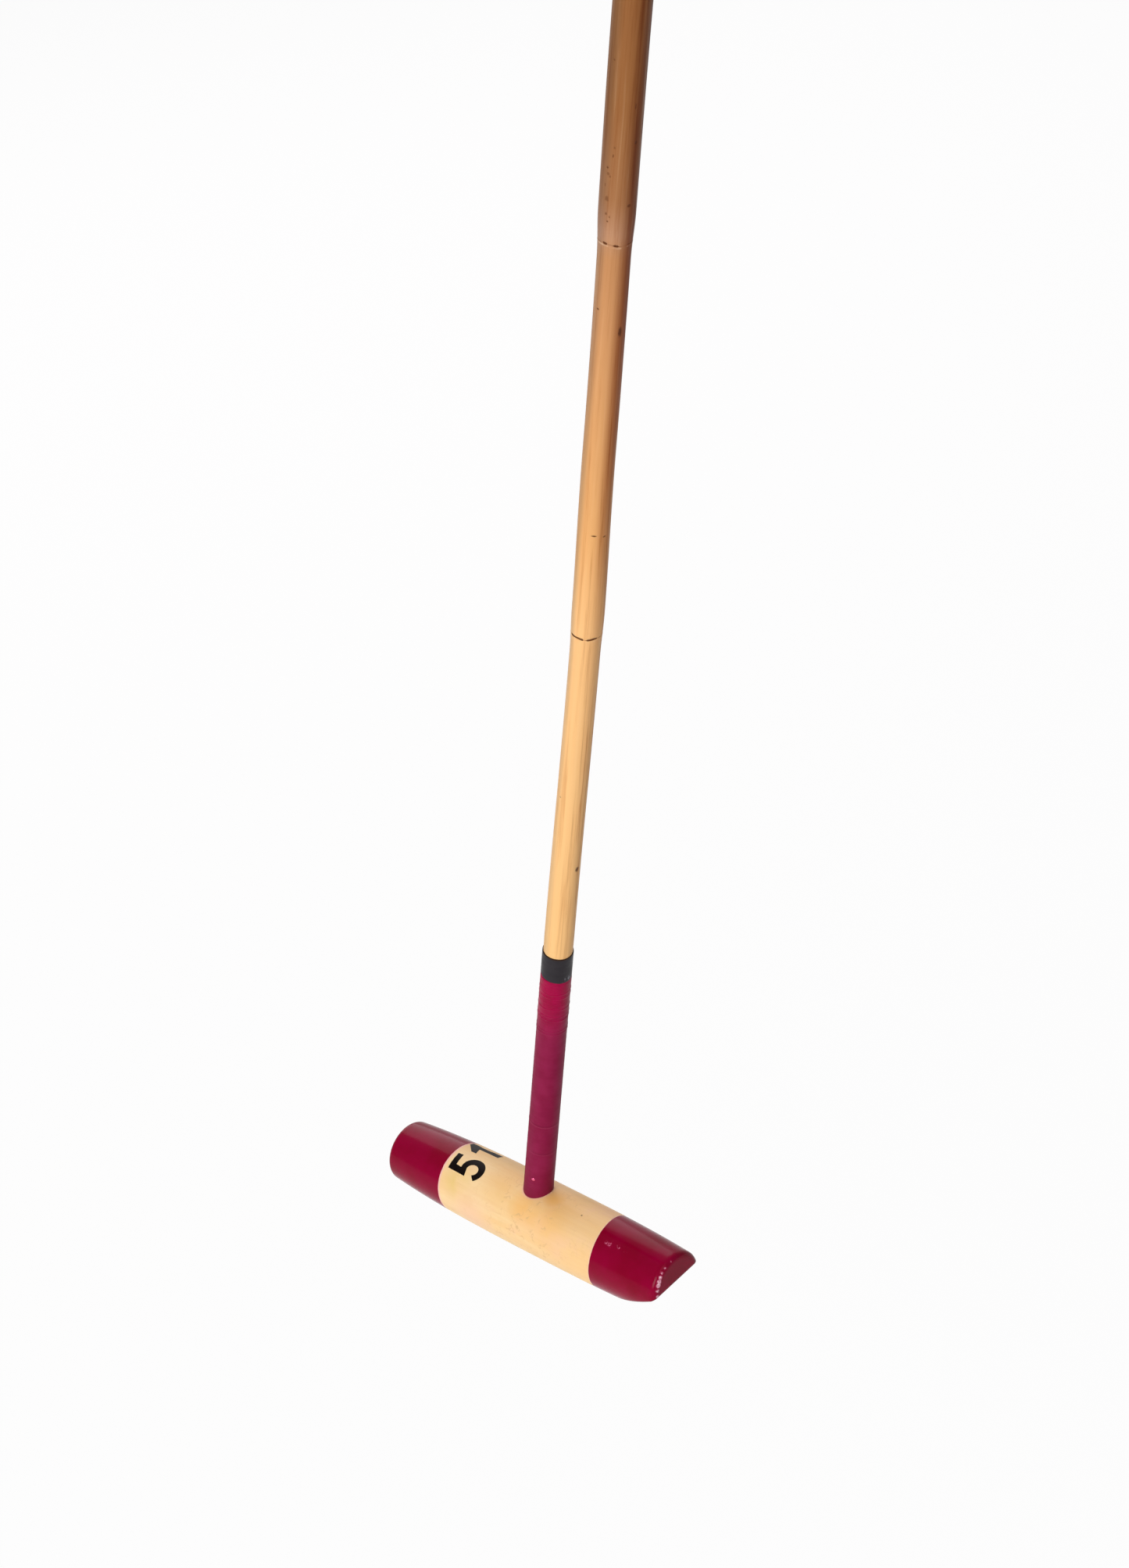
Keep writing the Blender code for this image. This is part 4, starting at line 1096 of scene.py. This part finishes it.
class Finish(Nodes):
    """A material whose place is counted up the shaft, or if not, from the head's middle."""

    def __init__(self, name, shaft=True, **sockets):
        self.material = bpy.data.materials.new(name)
        self.material.use_nodes = True
        super().__init__(self.material.node_tree)
        self.shader = self.tree.nodes["Principled BSDF"]
        for socket, value in sockets.items():
            self.shader.inputs[socket.replace("_", " ")].default_value = value
        self.place = self.placed(shaft)

    def placed(self, shaft):
        """Object coordinates from the head's middle, or turned to stand up the shaft."""
        wires = {"Vector": self.get("ShaderNodeTexCoord", output="Object")}
        wires["Location"] = (0, 0, HAND) if shaft else tuple(-FOOT)
        if shaft:
            wires["Rotation"] = (0, -SHAFT_LEAN, 0)
        return self.get("ShaderNodeMapping", wires)

    def noise(self, scale, detail=2.0, roughness=0.5, distortion=0.0):
        """Noise at a scale, or at three of them along the place's axes."""
        where = self.place
        if isinstance(scale, tuple):
            where = self.get("ShaderNodeMapping", {"Vector": where, "Scale": scale})
            scale = 1.0
        wires = {"Vector": where, "Scale": scale, "Detail": detail, "Roughness": roughness}
        wires["Distortion"] = distortion
        return self.get("ShaderNodeTexNoise", wires, "Fac")

    def window(self, value, low, high, to_low=0.0, to_high=1.0):
        """Softly from one number to another as a value goes from low to high."""
        wires = {"Value": value, "From Min": low, "From Max": high}
        wires.update({"To Min": to_low, "To Max": to_high})
        return self.get("ShaderNodeMapRange", wires, interpolation_type="SMOOTHSTEP")

    def mix(self, share, first, second, blend="MIX"):
        wires = {0: share, 6: first, 7: second}
        return self.get("ShaderNodeMix", wires, 2, data_type="RGBA", blend_type=blend)

    def ramp(self, value, stops):
        made = self.add("ShaderNodeValToRGB", {0: value})
        band = made.color_ramp
        for i, (place, colour) in enumerate(stops):
            element = band.elements[i] if i < 2 else band.elements.new(place)
            element.position = place
            element.color = colour
        return Number(self, made.outputs[0])

    def kept(self, name):
        """A number that the piece's mesh keeps at each point."""
        return self.get("ShaderNodeAttribute", output="Fac", attribute_name=name)

    def spot(self, centre, radius):
        """1 at a place, fading to 0 at a distance from it."""
        away = self.vector("DISTANCE", self.place, centre, output="Value")
        return self.window(away, radius, 0.0)

    def finish(self, colour, roughness, height, depth):
        self.wire(colour, self.shader.inputs["Base Color"])
        self.wire(roughness, self.shader.inputs["Roughness"])
        wires = {"Height": height, "Distance": depth, "Strength": 1.0}
        self.wire(self.get("ShaderNodeBump", wires), self.shader.inputs["Normal"])
        return self.material


# Where each end's lacquer starts: x on the head's axis, and how x shifts with y and z
TOE_BAND = (-62.2 * MM, -0.055, 0.085)
HEEL_BAND = (62.7 * MM, 0.106, -0.041)
# Amber patches in the wood round the shaft: their middles in the head's frame, reach and strength
AMBER_PATCHES = (
    ((-16, -9, 22), 26, 0.5),
    ((4, -14, 20), 19, 0.8),
    ((13, -15, 19), 18, 0.6),
    ((21, -3, 24), 14, 0.9),
    ((27, -12, 20), 24, 0.6),
)
# Scuffs on the heel's lacquer: mm along the head, degrees round it, reach and strength
SCUFFS = ((73.5, 121, 6.5, 1.0), (80.5, 118, 5.0, 0.9), (87.0, 119, 5.0, 0.6))
RIM_ALONG = 116.6 * MM
# Chips at the heel's rim: degrees round the head, mm from its axis, reach and strength
RIM_CHIPS = (
    (96, 20.6, 2.0, 1.0),
    (113, 20.6, 2.6, 0.9),
    (123, 20.4, 2.6, 0.95),
    (131, 19.7, 3.0, 1.0),
    (139, 19.1, 3.4, 1.1),
    (146, 18.7, 3.4, 1.15),
    (157, 18.4, 3.0, 0.9),
    (169, 18.0, 3.0, 0.95),
)


def lacquered_wood():
    """Pale varnished wood with maroon gloss lacquer over both ends, chipped at the heel."""
    f = Finish("maroon lacquer on pale wood", shaft=False, Specular_IOR_Level=0.08)
    x, y, z = f.split(f.place)
    waver = (f.noise(180) - 0.5) * (0.5 * MM)

    def past_band(band, side):
        """How far past a band's edge, towards the end of the head."""
        start, by_y, by_z = band
        return (x + (y * by_y + z * by_z) + waver - start) * side

    toe, heel = past_band(TOE_BAND, -1.0), past_band(HEEL_BAND, 1.0)
    soft = 0.12 * MM
    paint = f.window(f.most(toe, heel), -soft, soft)
    toe_line = f.window(toe, -1.6 * MM, -0.7 * MM)
    heel_line = f.window(heel, -0.9 * MM, -0.3 * MM, 0.0, 0.6)
    line = f.most(toe_line, heel_line)

    long_grain = f.noise((14, 330, 330), 4.0, 0.6, 0.3)
    figure = f.noise((7, 45, 45), 3.0, 0.55, 0.6)
    flecks = f.noise((90, 900, 900), 2.0)
    cloud = f.noise(36, 3.0, 0.6)
    wood = f.mix(f.window(figure, 0.35, 0.68), tint(255, 222, 170), tint(252, 209, 148))
    wood = f.mix(f.window(x, -0.01, 0.05, 0.0, 0.55), wood, tint(253, 206, 144))
    wood = f.mix(f.window(cloud, 0.5, 0.7, 0.0, 0.4), wood, tint(253, 206, 172))
    wood = f.mix(f.window(cloud, 0.46, 0.3, 0.0, 0.45), wood, tint(246, 206, 138))
    wood = f.mix(f.window(long_grain, 0.45, 0.75, 0.0, 0.25), wood, tint(240, 192, 138))
    wood = f.mix(f.window(flecks, 0.6, 0.75, 0.0, 0.2), wood, tint(222, 178, 126))
    # Painted light: a paler pinkish patch on the front of the wood near the toe, where bounced
    # light falls
    painted_pink_light = f.spot((-0.036, -0.0234, -0.002), 0.024)
    wood = f.mix(painted_pink_light * 0.5, wood, tint(254, 204, 176))
    yellow = f.spot((-0.05, -0.018, 0.0142), 0.018) * 0.7
    wood = f.mix(yellow * f.window(cloud, 0.35, 0.6), wood, tint(240, 206, 124))
    amber = 0.0
    for middle, reach, strength in AMBER_PATCHES:
        amber = f.most(amber, f.spot([at * MM for at in middle], reach * MM) * strength)
    amber = amber * f.window(cloud, 0.2, 0.6, 0.6, 1.0)
    wood = f.mix(amber, wood, tint(250, 190, 108))
    scribble = f.noise(190, 1.0, 0.5, 0.8)
    where = f.spot((0.012, -0.0205, 0.0115), 0.06) * f.window(f.noise(130), 0.5, 0.6)
    scribble = f.window(abs(scribble - 0.5), 0.05, 0.015) * where
    wood = f.mix(scribble * 0.6, wood, tint(226, 180, 126))
    knot = f.spot((0.0453, -0.0042, 0.0233), 0.9 * MM)
    wood = f.mix(knot, wood, tint(120, 80, 50))
    wood = f.mix(line * 0.85, wood, tint(252, 196, 188))
    off_x, off_y, _ = f.split(f.placed(shaft=True))
    from_neck = f.vector("LENGTH", f.joined(off_x, off_y), output="Value")
    halo = f.window(from_neck, 10.8 * MM, 9.7 * MM, 0.0, 0.5)
    wood = f.mix(halo, wood, tint(250, 190, 172))

    edge = f.kept("edge")
    crumbs = f.noise((2200, 1300, 1300), 4.0, 0.75, 0.5)
    patches = f.noise(55, 2.0)
    worn = f.window(patches, 0.45, 0.6) * edge * f.window(x, 0.06, 0.1, 0.3, 0.5)
    for turn, radius, reach, strength in RIM_CHIPS:
        centre = on_head(RIM_ALONG, radius * MM, math.radians(turn))
        worn = f.most(worn, f.spot(centre, reach * MM) * strength)
    worn = worn * 0.7 + crumbs
    chips = f.window(worn, 0.96, 1.06)
    scuffs = 0.0
    for along, turn, reach, strength in SCUFFS:
        centre = on_head(along * MM, float(head_radius(along * MM)), math.radians(turn))
        scuffs = f.most(scuffs, f.spot(centre, reach * MM) * strength)
    flakes = f.noise(520, 4.0, 0.65, 1.2)
    scuffs = f.window(scuffs * 0.3 + flakes, 0.77, 0.92)
    depth_of_paint = f.noise(60, 2.0)
    maroon = f.mix(f.window(depth_of_paint, 0.3, 0.7), tint(136, 0, 38), tint(146, 0, 49))
    maroon = f.mix(scuffs * 0.85, maroon, tint(220, 110, 146))
    maroon = f.mix(f.window(worn, 0.78, 1.0, 0.0, 0.75), maroon, tint(200, 70, 112))
    bare = f.mix(f.window(f.noise(1900, 2.0), 0.4, 0.6), tint(226, 138, 166), tint(252, 214, 222))
    maroon = f.mix(chips, maroon, bare)
    colour = f.mix(paint, wood, maroon)
    rough = f.mix(paint, grey(0.42), grey(0.17))
    rough = f.mix(chips, rough, grey(0.7))
    height = paint * (1.0 - chips) + (1.0 - paint) * long_grain * 0.3
    return f.finish(colour, rough, height, 0.08 * MM)


def figure_paint():
    f = Finish("black figure paint", shaft=False, Specular_IOR_Level=0.06)
    wear = f.noise(260, 3.0)
    colour = f.mix(f.window(wear, 0.3, 0.75), tint(10, 4, 2), tint(22, 14, 11))
    return f.finish(colour, 0.4, wear, 0.02 * MM)


# The cane's colour up the shaft between the collar and the grip: its own tones, with painted shade
# darkening it towards the grip
CANE_TONES_AND_SHADE = (
    (0.20, (251, 200, 134)),
    (0.48, (246, 192, 130)),
    (0.54, (233, 173, 110)),
    (0.68, (203, 145, 95)),
    (0.722, (193, 137, 90)),
    (0.735, (186, 138, 104)),
    (0.755, (164, 113, 73)),
    (0.81, (150, 98, 56)),
    (1.02, (131, 84, 46)),
)
# Marks on the cane: up the shaft and round it in degrees, their size up and round, and strength
CANE_MARKS = (
    (0.8355, -93, 0.6, 0.6, 0.6),
    (0.8108, -16, 1.8, 0.4, 0.75),
    (0.7897, -5, 1.3, 0.9, 0.9),
    (0.7871, -71, 1.0, 0.6, 0.4),
    (0.7822, -74, 1.1, 0.4, 0.8),
    (0.7746, -90, 0.7, 0.7, 0.8),
    (0.7713, -87, 1.1, 1.0, 0.5),
    (0.7700, -80, 0.8, 0.6, 0.5),
    (0.7642, -95, 1.3, 0.4, 0.6),
    (0.7568, -86, 1.7, 1.2, 0.5),
    (0.7535, -14, 1.1, 1.0, 0.85),
    (0.7481, -85, 0.9, 0.6, 0.7),
    (0.7468, -73, 0.8, 0.5, 0.6),
    (0.7439, -79, 0.7, 0.6, 0.85),
    (0.6897, -96, 0.7, 1.0, 0.85),
    (0.6766, -8, 3.2, 1.3, 0.95),
    (0.5463, -48, 0.5, 1.5, 0.95),
    (0.5450, -9, 0.6, 1.1, 0.75),
    (0.3562, -100, 0.5, 0.8, 0.5),
    (0.3012, 0, 2.0, 1.5, 0.95),
    (0.8700, 120, 1.5, 0.6, 0.8),
    (0.6200, 160, 0.8, 1.2, 0.7),
    (0.4100, 95, 1.4, 0.6, 0.8),
    (0.2700, 40, 0.9, 0.9, 0.7),
    (0.9300, -60, 1.1, 0.9, 0.8),
)


def natural_cane():
    """Varnished cane: long streaks and scars, with painted shade that darkens it towards the grip,
    browner down one side and greyer down the other.
    """
    f = Finish("varnished cane", Specular_IOR_Level=0.06)
    x, y, up = f.split(f.place)
    top = CANE_TONES_AND_SHADE[-1][0]
    # Painted shade: this ramp darkens the cane towards the grip, over its own tones
    tone_and_shade = f.ramp(up / top, [(at / top, tint(*colour)) for at, colour in CANE_TONES_AND_SHADE])
    streaks = f.noise((420, 420, 9), 4.0, 0.65, 0.2)
    bands = f.noise((110, 110, 4), 3.0, 0.55, 0.3)
    round_it = f.reckon("ARCTAN2", y, x)
    # Painted shade: browner and darker down one side of the cane, in blotches, growing towards the
    # grip
    side = f.window(f.reckon("COSINE", round_it - math.radians(34)), 0.06, 0.88)
    painted_side_shade = side * f.window(bands, 0.3, 0.6, 0.3, 1.0)
    # Painted shade: greyer and darker down the other side of the cane, at half strength low on the
    # shaft
    painted_far_side_shade = f.window(f.reckon("COSINE", round_it + math.radians(136)), 0.55, 1.0)
    painted_far_side_shade = painted_far_side_shade * f.window(up, 0.36, 0.48, 0.5, 1.0)
    painted_side_shade = painted_side_shade * f.window(up, 0.36, 0.68, 0.08, 0.95)
    colour = f.mix(painted_side_shade, tone_and_shade, f.mix(1.0, tone_and_shade, tint(186, 140, 112), "MULTIPLY"))
    colour = f.mix(painted_far_side_shade, colour, f.mix(1.0, colour, tint(222, 231, 250), "MULTIPLY"))
    # Streaks in the cane, drawn stronger down the side with painted shade
    fine = f.window(streaks, 0.5, 0.7) * (side * 0.32 + 0.4)
    colour = f.mix(fine, colour, f.mix(1.0, colour, tint(205, 165, 130), "MULTIPLY"))
    pale = f.window(streaks, 0.48, 0.28, 0.0, 0.18)
    colour = f.mix(pale, colour, f.mix(0.5, colour, tint(255, 216, 164)))
    scar = f.kept("scar")
    crumbs = f.noise(700, 3.0)
    ridge = f.window(scar, -0.05, -0.45, 0.0, 0.6)
    ridge = ridge * f.window(f.noise(210, 2.0), 0.42, 0.62)
    colour = f.mix(ridge, colour, f.mix(0.5, colour, tint(255, 226, 190)))
    dark = f.window(scar * f.window(crumbs, 0.2, 0.6, 0.55, 1.25), 0.03, 0.5)
    for height, turn, tall, wide, strength in CANE_MARKS:
        radius, angle = float(cane_radius(height)), math.radians(turn)
        centre = (radius * math.cos(angle) + float(cane_bend(height)), radius * math.sin(angle))
        off = f.vector("SUBTRACT", f.place, (*centre, height))
        scaled = f.vector("MULTIPLY", off, (1 / wide / MM, 1 / wide / MM, 1 / tall / MM))
        away = f.vector("LENGTH", scaled, output="Value") + crumbs * 0.9
        dark = f.most(dark, f.window(away, 1.7, 0.9, 0.0, strength))
    colour = f.mix(dark * 0.92, colour, tint(90, 46, 20))
    height = streaks * 0.3 - dark
    rough = f.window(streaks, 0.3, 0.7, 0.34, 0.48)
    return f.finish(colour, rough, height, 0.12 * MM)


def neck_colour(f, up):
    """Maroon up the neck, turning to crimson lacquer under the collar."""
    mottle = f.noise(100, 3.0)
    low = f.mix(f.window(mottle, 0.3, 0.7), tint(133, 16, 60), tint(143, 26, 70))
    high = f.mix(f.window(mottle, 0.3, 0.7), tint(152, 0, 56), tint(168, 0, 68))
    return f.mix(f.window(up, 0.158, 0.198), low, high)


def binding_cloth():
    f = Finish("maroon binding", Specular_IOR_Level=0.09)
    _, _, up = f.split(f.place)
    colour = neck_colour(f, up)
    # Painted shadow just above each join and painted highlight on it, stronger the prouder the join
    dark, join_highlight = 0.0, 0.0
    for at, proud in BINDING_JOINS:
        strength = 5 * proud / MM
        off = up - at
        shadow_above_join = f.window(abs(off - 1.1 * MM), 0.9 * MM, 0.2 * MM)
        dark = f.most(dark, shadow_above_join * strength)
        on = f.window(abs(off), 0.6 * MM, 0.1 * MM)
        join_highlight = f.most(join_highlight, on * strength)
    colour = f.mix(dark * 0.9, colour, tint(96, 14, 38))
    colour = f.mix(join_highlight * 0.5, colour, tint(196, 90, 120))
    # Painted shade: the neck darker towards its foot, where it meets the head
    colour = f.mix(f.window(up, 0.05, 0.024, 0.0, 0.35), colour, tint(112, 18, 46))
    turns = f.reckon("SINE", up * (2 * math.pi / (0.85 * MM)))
    weave = f.noise((700, 700, 1500), 2.0)
    height = turns * 0.12 + weave * 0.5
    return f.finish(colour, f.window(up, 0.15, 0.19, 0.55, 0.32), height, 0.05 * MM)


def whipping_lacquer():
    f = Finish("maroon lacquer on thread", Specular_IOR_Level=0.06)
    _, _, up = f.split(f.place)
    colour = neck_colour(f, up)
    return f.finish(colour, 0.32, f.noise(900, 2.0), 0.03 * MM)


def black_tape():
    f = Finish("black cloth tape", Specular_IOR_Level=0.15)
    _, _, up = f.split(f.place)
    mottle = f.noise(140, 3.0)
    colour = f.mix(f.window(mottle, 0.3, 0.75), tint(36, 32, 37), tint(45, 41, 45))
    rim = f.window(up, TAPE_TOP - 1.1 * MM, TAPE_TOP - 0.4 * MM)
    colour = f.mix(rim, colour, tint(46, 26, 12))
    # Painted highlight: a grey glint on the tape's lower edge, at one side
    painted_glint = f.spot((0.0092, -0.0006, TAPE_BOTTOM + 0.9 * MM), 4.5 * MM)
    painted_glint = painted_glint * f.window(f.noise(600, 3.0), 0.5, 0.62)
    colour = f.mix(painted_glint * 0.8, colour, tint(150, 146, 156))
    weave = f.noise((1400, 1400, 1400), 1.0)
    return f.finish(colour, f.window(mottle, 0.3, 0.7, 0.4, 0.52), weave, 0.03 * MM)


def woven(name, first, second, pitch, roughness=0.75):
    """Cotton webbing: warp and weft threads that pass over each other."""
    f = Finish(name, shaft=False, Sheen_Weight=0.3, Sheen_Roughness=0.5)
    along, across = f.kept("along"), f.kept("across")
    warp = f.reckon("SINE", along * (2 * math.pi / pitch))
    weft = f.reckon("SINE", across * (2 * math.pi / pitch))
    over = warp * weft
    fuzz = f.noise(1800, 2.0)
    soil = f.noise(45, 3.0)
    colour = f.mix(f.window(over, -0.5, 0.5), second, first)
    colour = f.mix(f.window(fuzz, 0.5, 0.85, 0.0, 0.25), colour, f.mix(0.4, first, grey(1)))
    colour = f.mix(f.window(soil, 0.45, 0.75, 0.0, 0.35), colour, second)
    height = over + fuzz * 0.5
    return f.finish(colour, roughness, height, 0.16 * MM)


def black_leather():
    f = Finish("black leather", Coat_Weight=0.15, Coat_Roughness=0.3)
    cells = f.get("ShaderNodeTexVoronoi", {"Vector": f.place, "Scale": 900.0}, "Distance")
    creases = f.noise(160, 4.0, 0.6)
    colour = f.mix(f.window(creases, 0.35, 0.7), tint(30, 28, 28), tint(52, 48, 46))
    height = cells * 0.6 + creases
    return f.finish(colour, f.window(creases, 0.3, 0.7, 0.42, 0.6), height, 0.12 * MM)


def hardwood(name="oiled hardwood"):
    f = Finish(name, Coat_Weight=0.1, Coat_Roughness=0.3)
    grain = f.noise((500, 500, 12), 4.0, 0.6, 0.3)
    figure = f.noise((60, 60, 6), 3.0, 0.5, 0.8)
    colour = f.mix(f.window(figure, 0.35, 0.7), tint(196, 150, 100), tint(170, 122, 76))
    colour = f.mix(f.window(grain, 0.5, 0.72, 0.0, 0.6), colour, tint(128, 86, 50))
    return f.finish(colour, f.window(grain, 0.3, 0.7, 0.4, 0.55), grain, 0.08 * MM)


def metal(name, bright, painted_far_side_shade):
    f = Finish(name, Metallic=1.0)
    tarnish = f.noise(450, 3.0, 0.6)
    colour = f.mix(f.window(tarnish, 0.4, 0.75), bright, painted_far_side_shade)
    return f.finish(colour, f.window(tarnish, 0.3, 0.75, 0.22, 0.42), tarnish, 0.02 * MM)


# Set


def rays_seen(nodes, gloss=None):
    """1 for rays that see the background straight, and gloss for those in a gloss or a glass."""
    path = nodes.add("ShaderNodeLightPath").outputs
    most = nodes.most(path["Is Glossy Ray"], path["Is Transmission Ray"])
    if gloss:
        most = most * gloss
    return nodes.most(path["Is Camera Ray"], most)


def build_floor():
    low = FOOT.z - HEAD_RADIUS - FLOOR_DROP
    turn = np.radians(np.arange(0, 360, 3))
    mesh = bpy.data.meshes.new("floor")
    mesh.from_pydata(ring(FLOOR_SIZE / 2, turn, low).tolist(), [], [range(len(turn))])
    material = bpy.data.materials.new("pale floor")
    material.use_nodes = True
    nodes = Nodes(material.node_tree)
    nodes.tree.nodes.clear()
    plain = nodes.get("ShaderNodeBsdfDiffuse", {"Color": grey(FLOOR_GREY)})
    wires = {0: rays_seen(nodes) * FLOOR_WHITE, 1: plain, 2: nodes.get("ShaderNodeEmission")}
    nodes.add("ShaderNodeOutputMaterial", {0: nodes.get("ShaderNodeMixShader", wires)})
    keep("floor", mesh, material)


def build_world():
    world = bpy.data.worlds.new("studio")
    bpy.context.scene.world = world
    world.use_nodes = True
    nodes = Nodes(world.node_tree)
    nodes.tree.nodes.clear()
    # A gloss shows the white backdrop behind the mallet, and a dimmer room around it
    way = nodes.get("ShaderNodeTexCoord", output="Generated")
    facing = nodes.vector("DOT_PRODUCT", way, BACKDROP_FACING, output="Value")
    gloss = nodes.get("ShaderNodeMapRange", {"Value": facing, **BACKDROP_FADE})
    room = nodes.get("ShaderNodeBackground", ROOM)
    white = nodes.get("ShaderNodeBackground", {"Color": grey(1)})
    wires = {0: rays_seen(nodes, gloss), 1: room, 2: white}
    nodes.add("ShaderNodeOutputWorld", {0: nodes.get("ShaderNodeMixShader", wires)})


def build_softbox(name, place, aim, size, power, colour):
    lamp = bpy.data.lights.new(name, "AREA")
    lamp.shape = "RECTANGLE"
    lamp.size, lamp.size_y = size
    lamp.energy = power
    lamp.color = colour
    made = bpy.data.objects.new(name, lamp)
    made.location = place
    made.rotation_euler = (Vector(aim) - Vector(place)).to_track_quat("-Z", "Y").to_euler()
    bpy.context.scene.collection.objects.link(made)


def build_camera():
    data = bpy.data.cameras.new("camera")
    data.lens = CAMERA_LENS
    data.clip_start = 0.05
    made = bpy.data.objects.new("camera", data)
    made.location = CAMERA_PLACE
    made.rotation_euler = [math.radians(turn) for turn in CAMERA_TURN]
    bpy.context.scene.collection.objects.link(made)
    bpy.context.scene.camera = made


def main():
    build_camera()
    build_world()
    build_floor()
    for softbox in SOFTBOXES:
        build_softbox(*softbox)
    leather = black_leather()
    wood = hardwood()
    brass = metal("brass", tint(214, 176, 100), tint(150, 108, 56))
    copper = metal("lacquered copper", tint(236, 104, 146), tint(176, 52, 92))
    maroon = woven("maroon cotton tape", tint(150, 30, 62), tint(104, 14, 38), 1.3 * MM)
    charcoal = woven("charcoal cotton webbing", tint(62, 60, 66), tint(34, 33, 37), 1.5 * MM)
    thread = woven("waxed maroon thread", tint(176, 60, 88), tint(140, 30, 60), 0.6 * MM)
    build_head(lacquered_wood())
    build_number(figure_paint())
    build_cane(natural_cane())
    build_neck(binding_cloth(), whipping_lacquer())
    build_collar(black_tape())
    build_grip(wood, leather, maroon, thread)
    build_sling_band(leather, thread)
    build_cap(leather)
    build_sling(charcoal)
    build_tacks(copper, brass)
    wedge = frame["nodes"]["foot_wedge"]
    wedge.data.materials.clear()
    wedge.data.materials.append(wood)


main()
bpy.context.scene.view_settings.view_transform = "Standard"
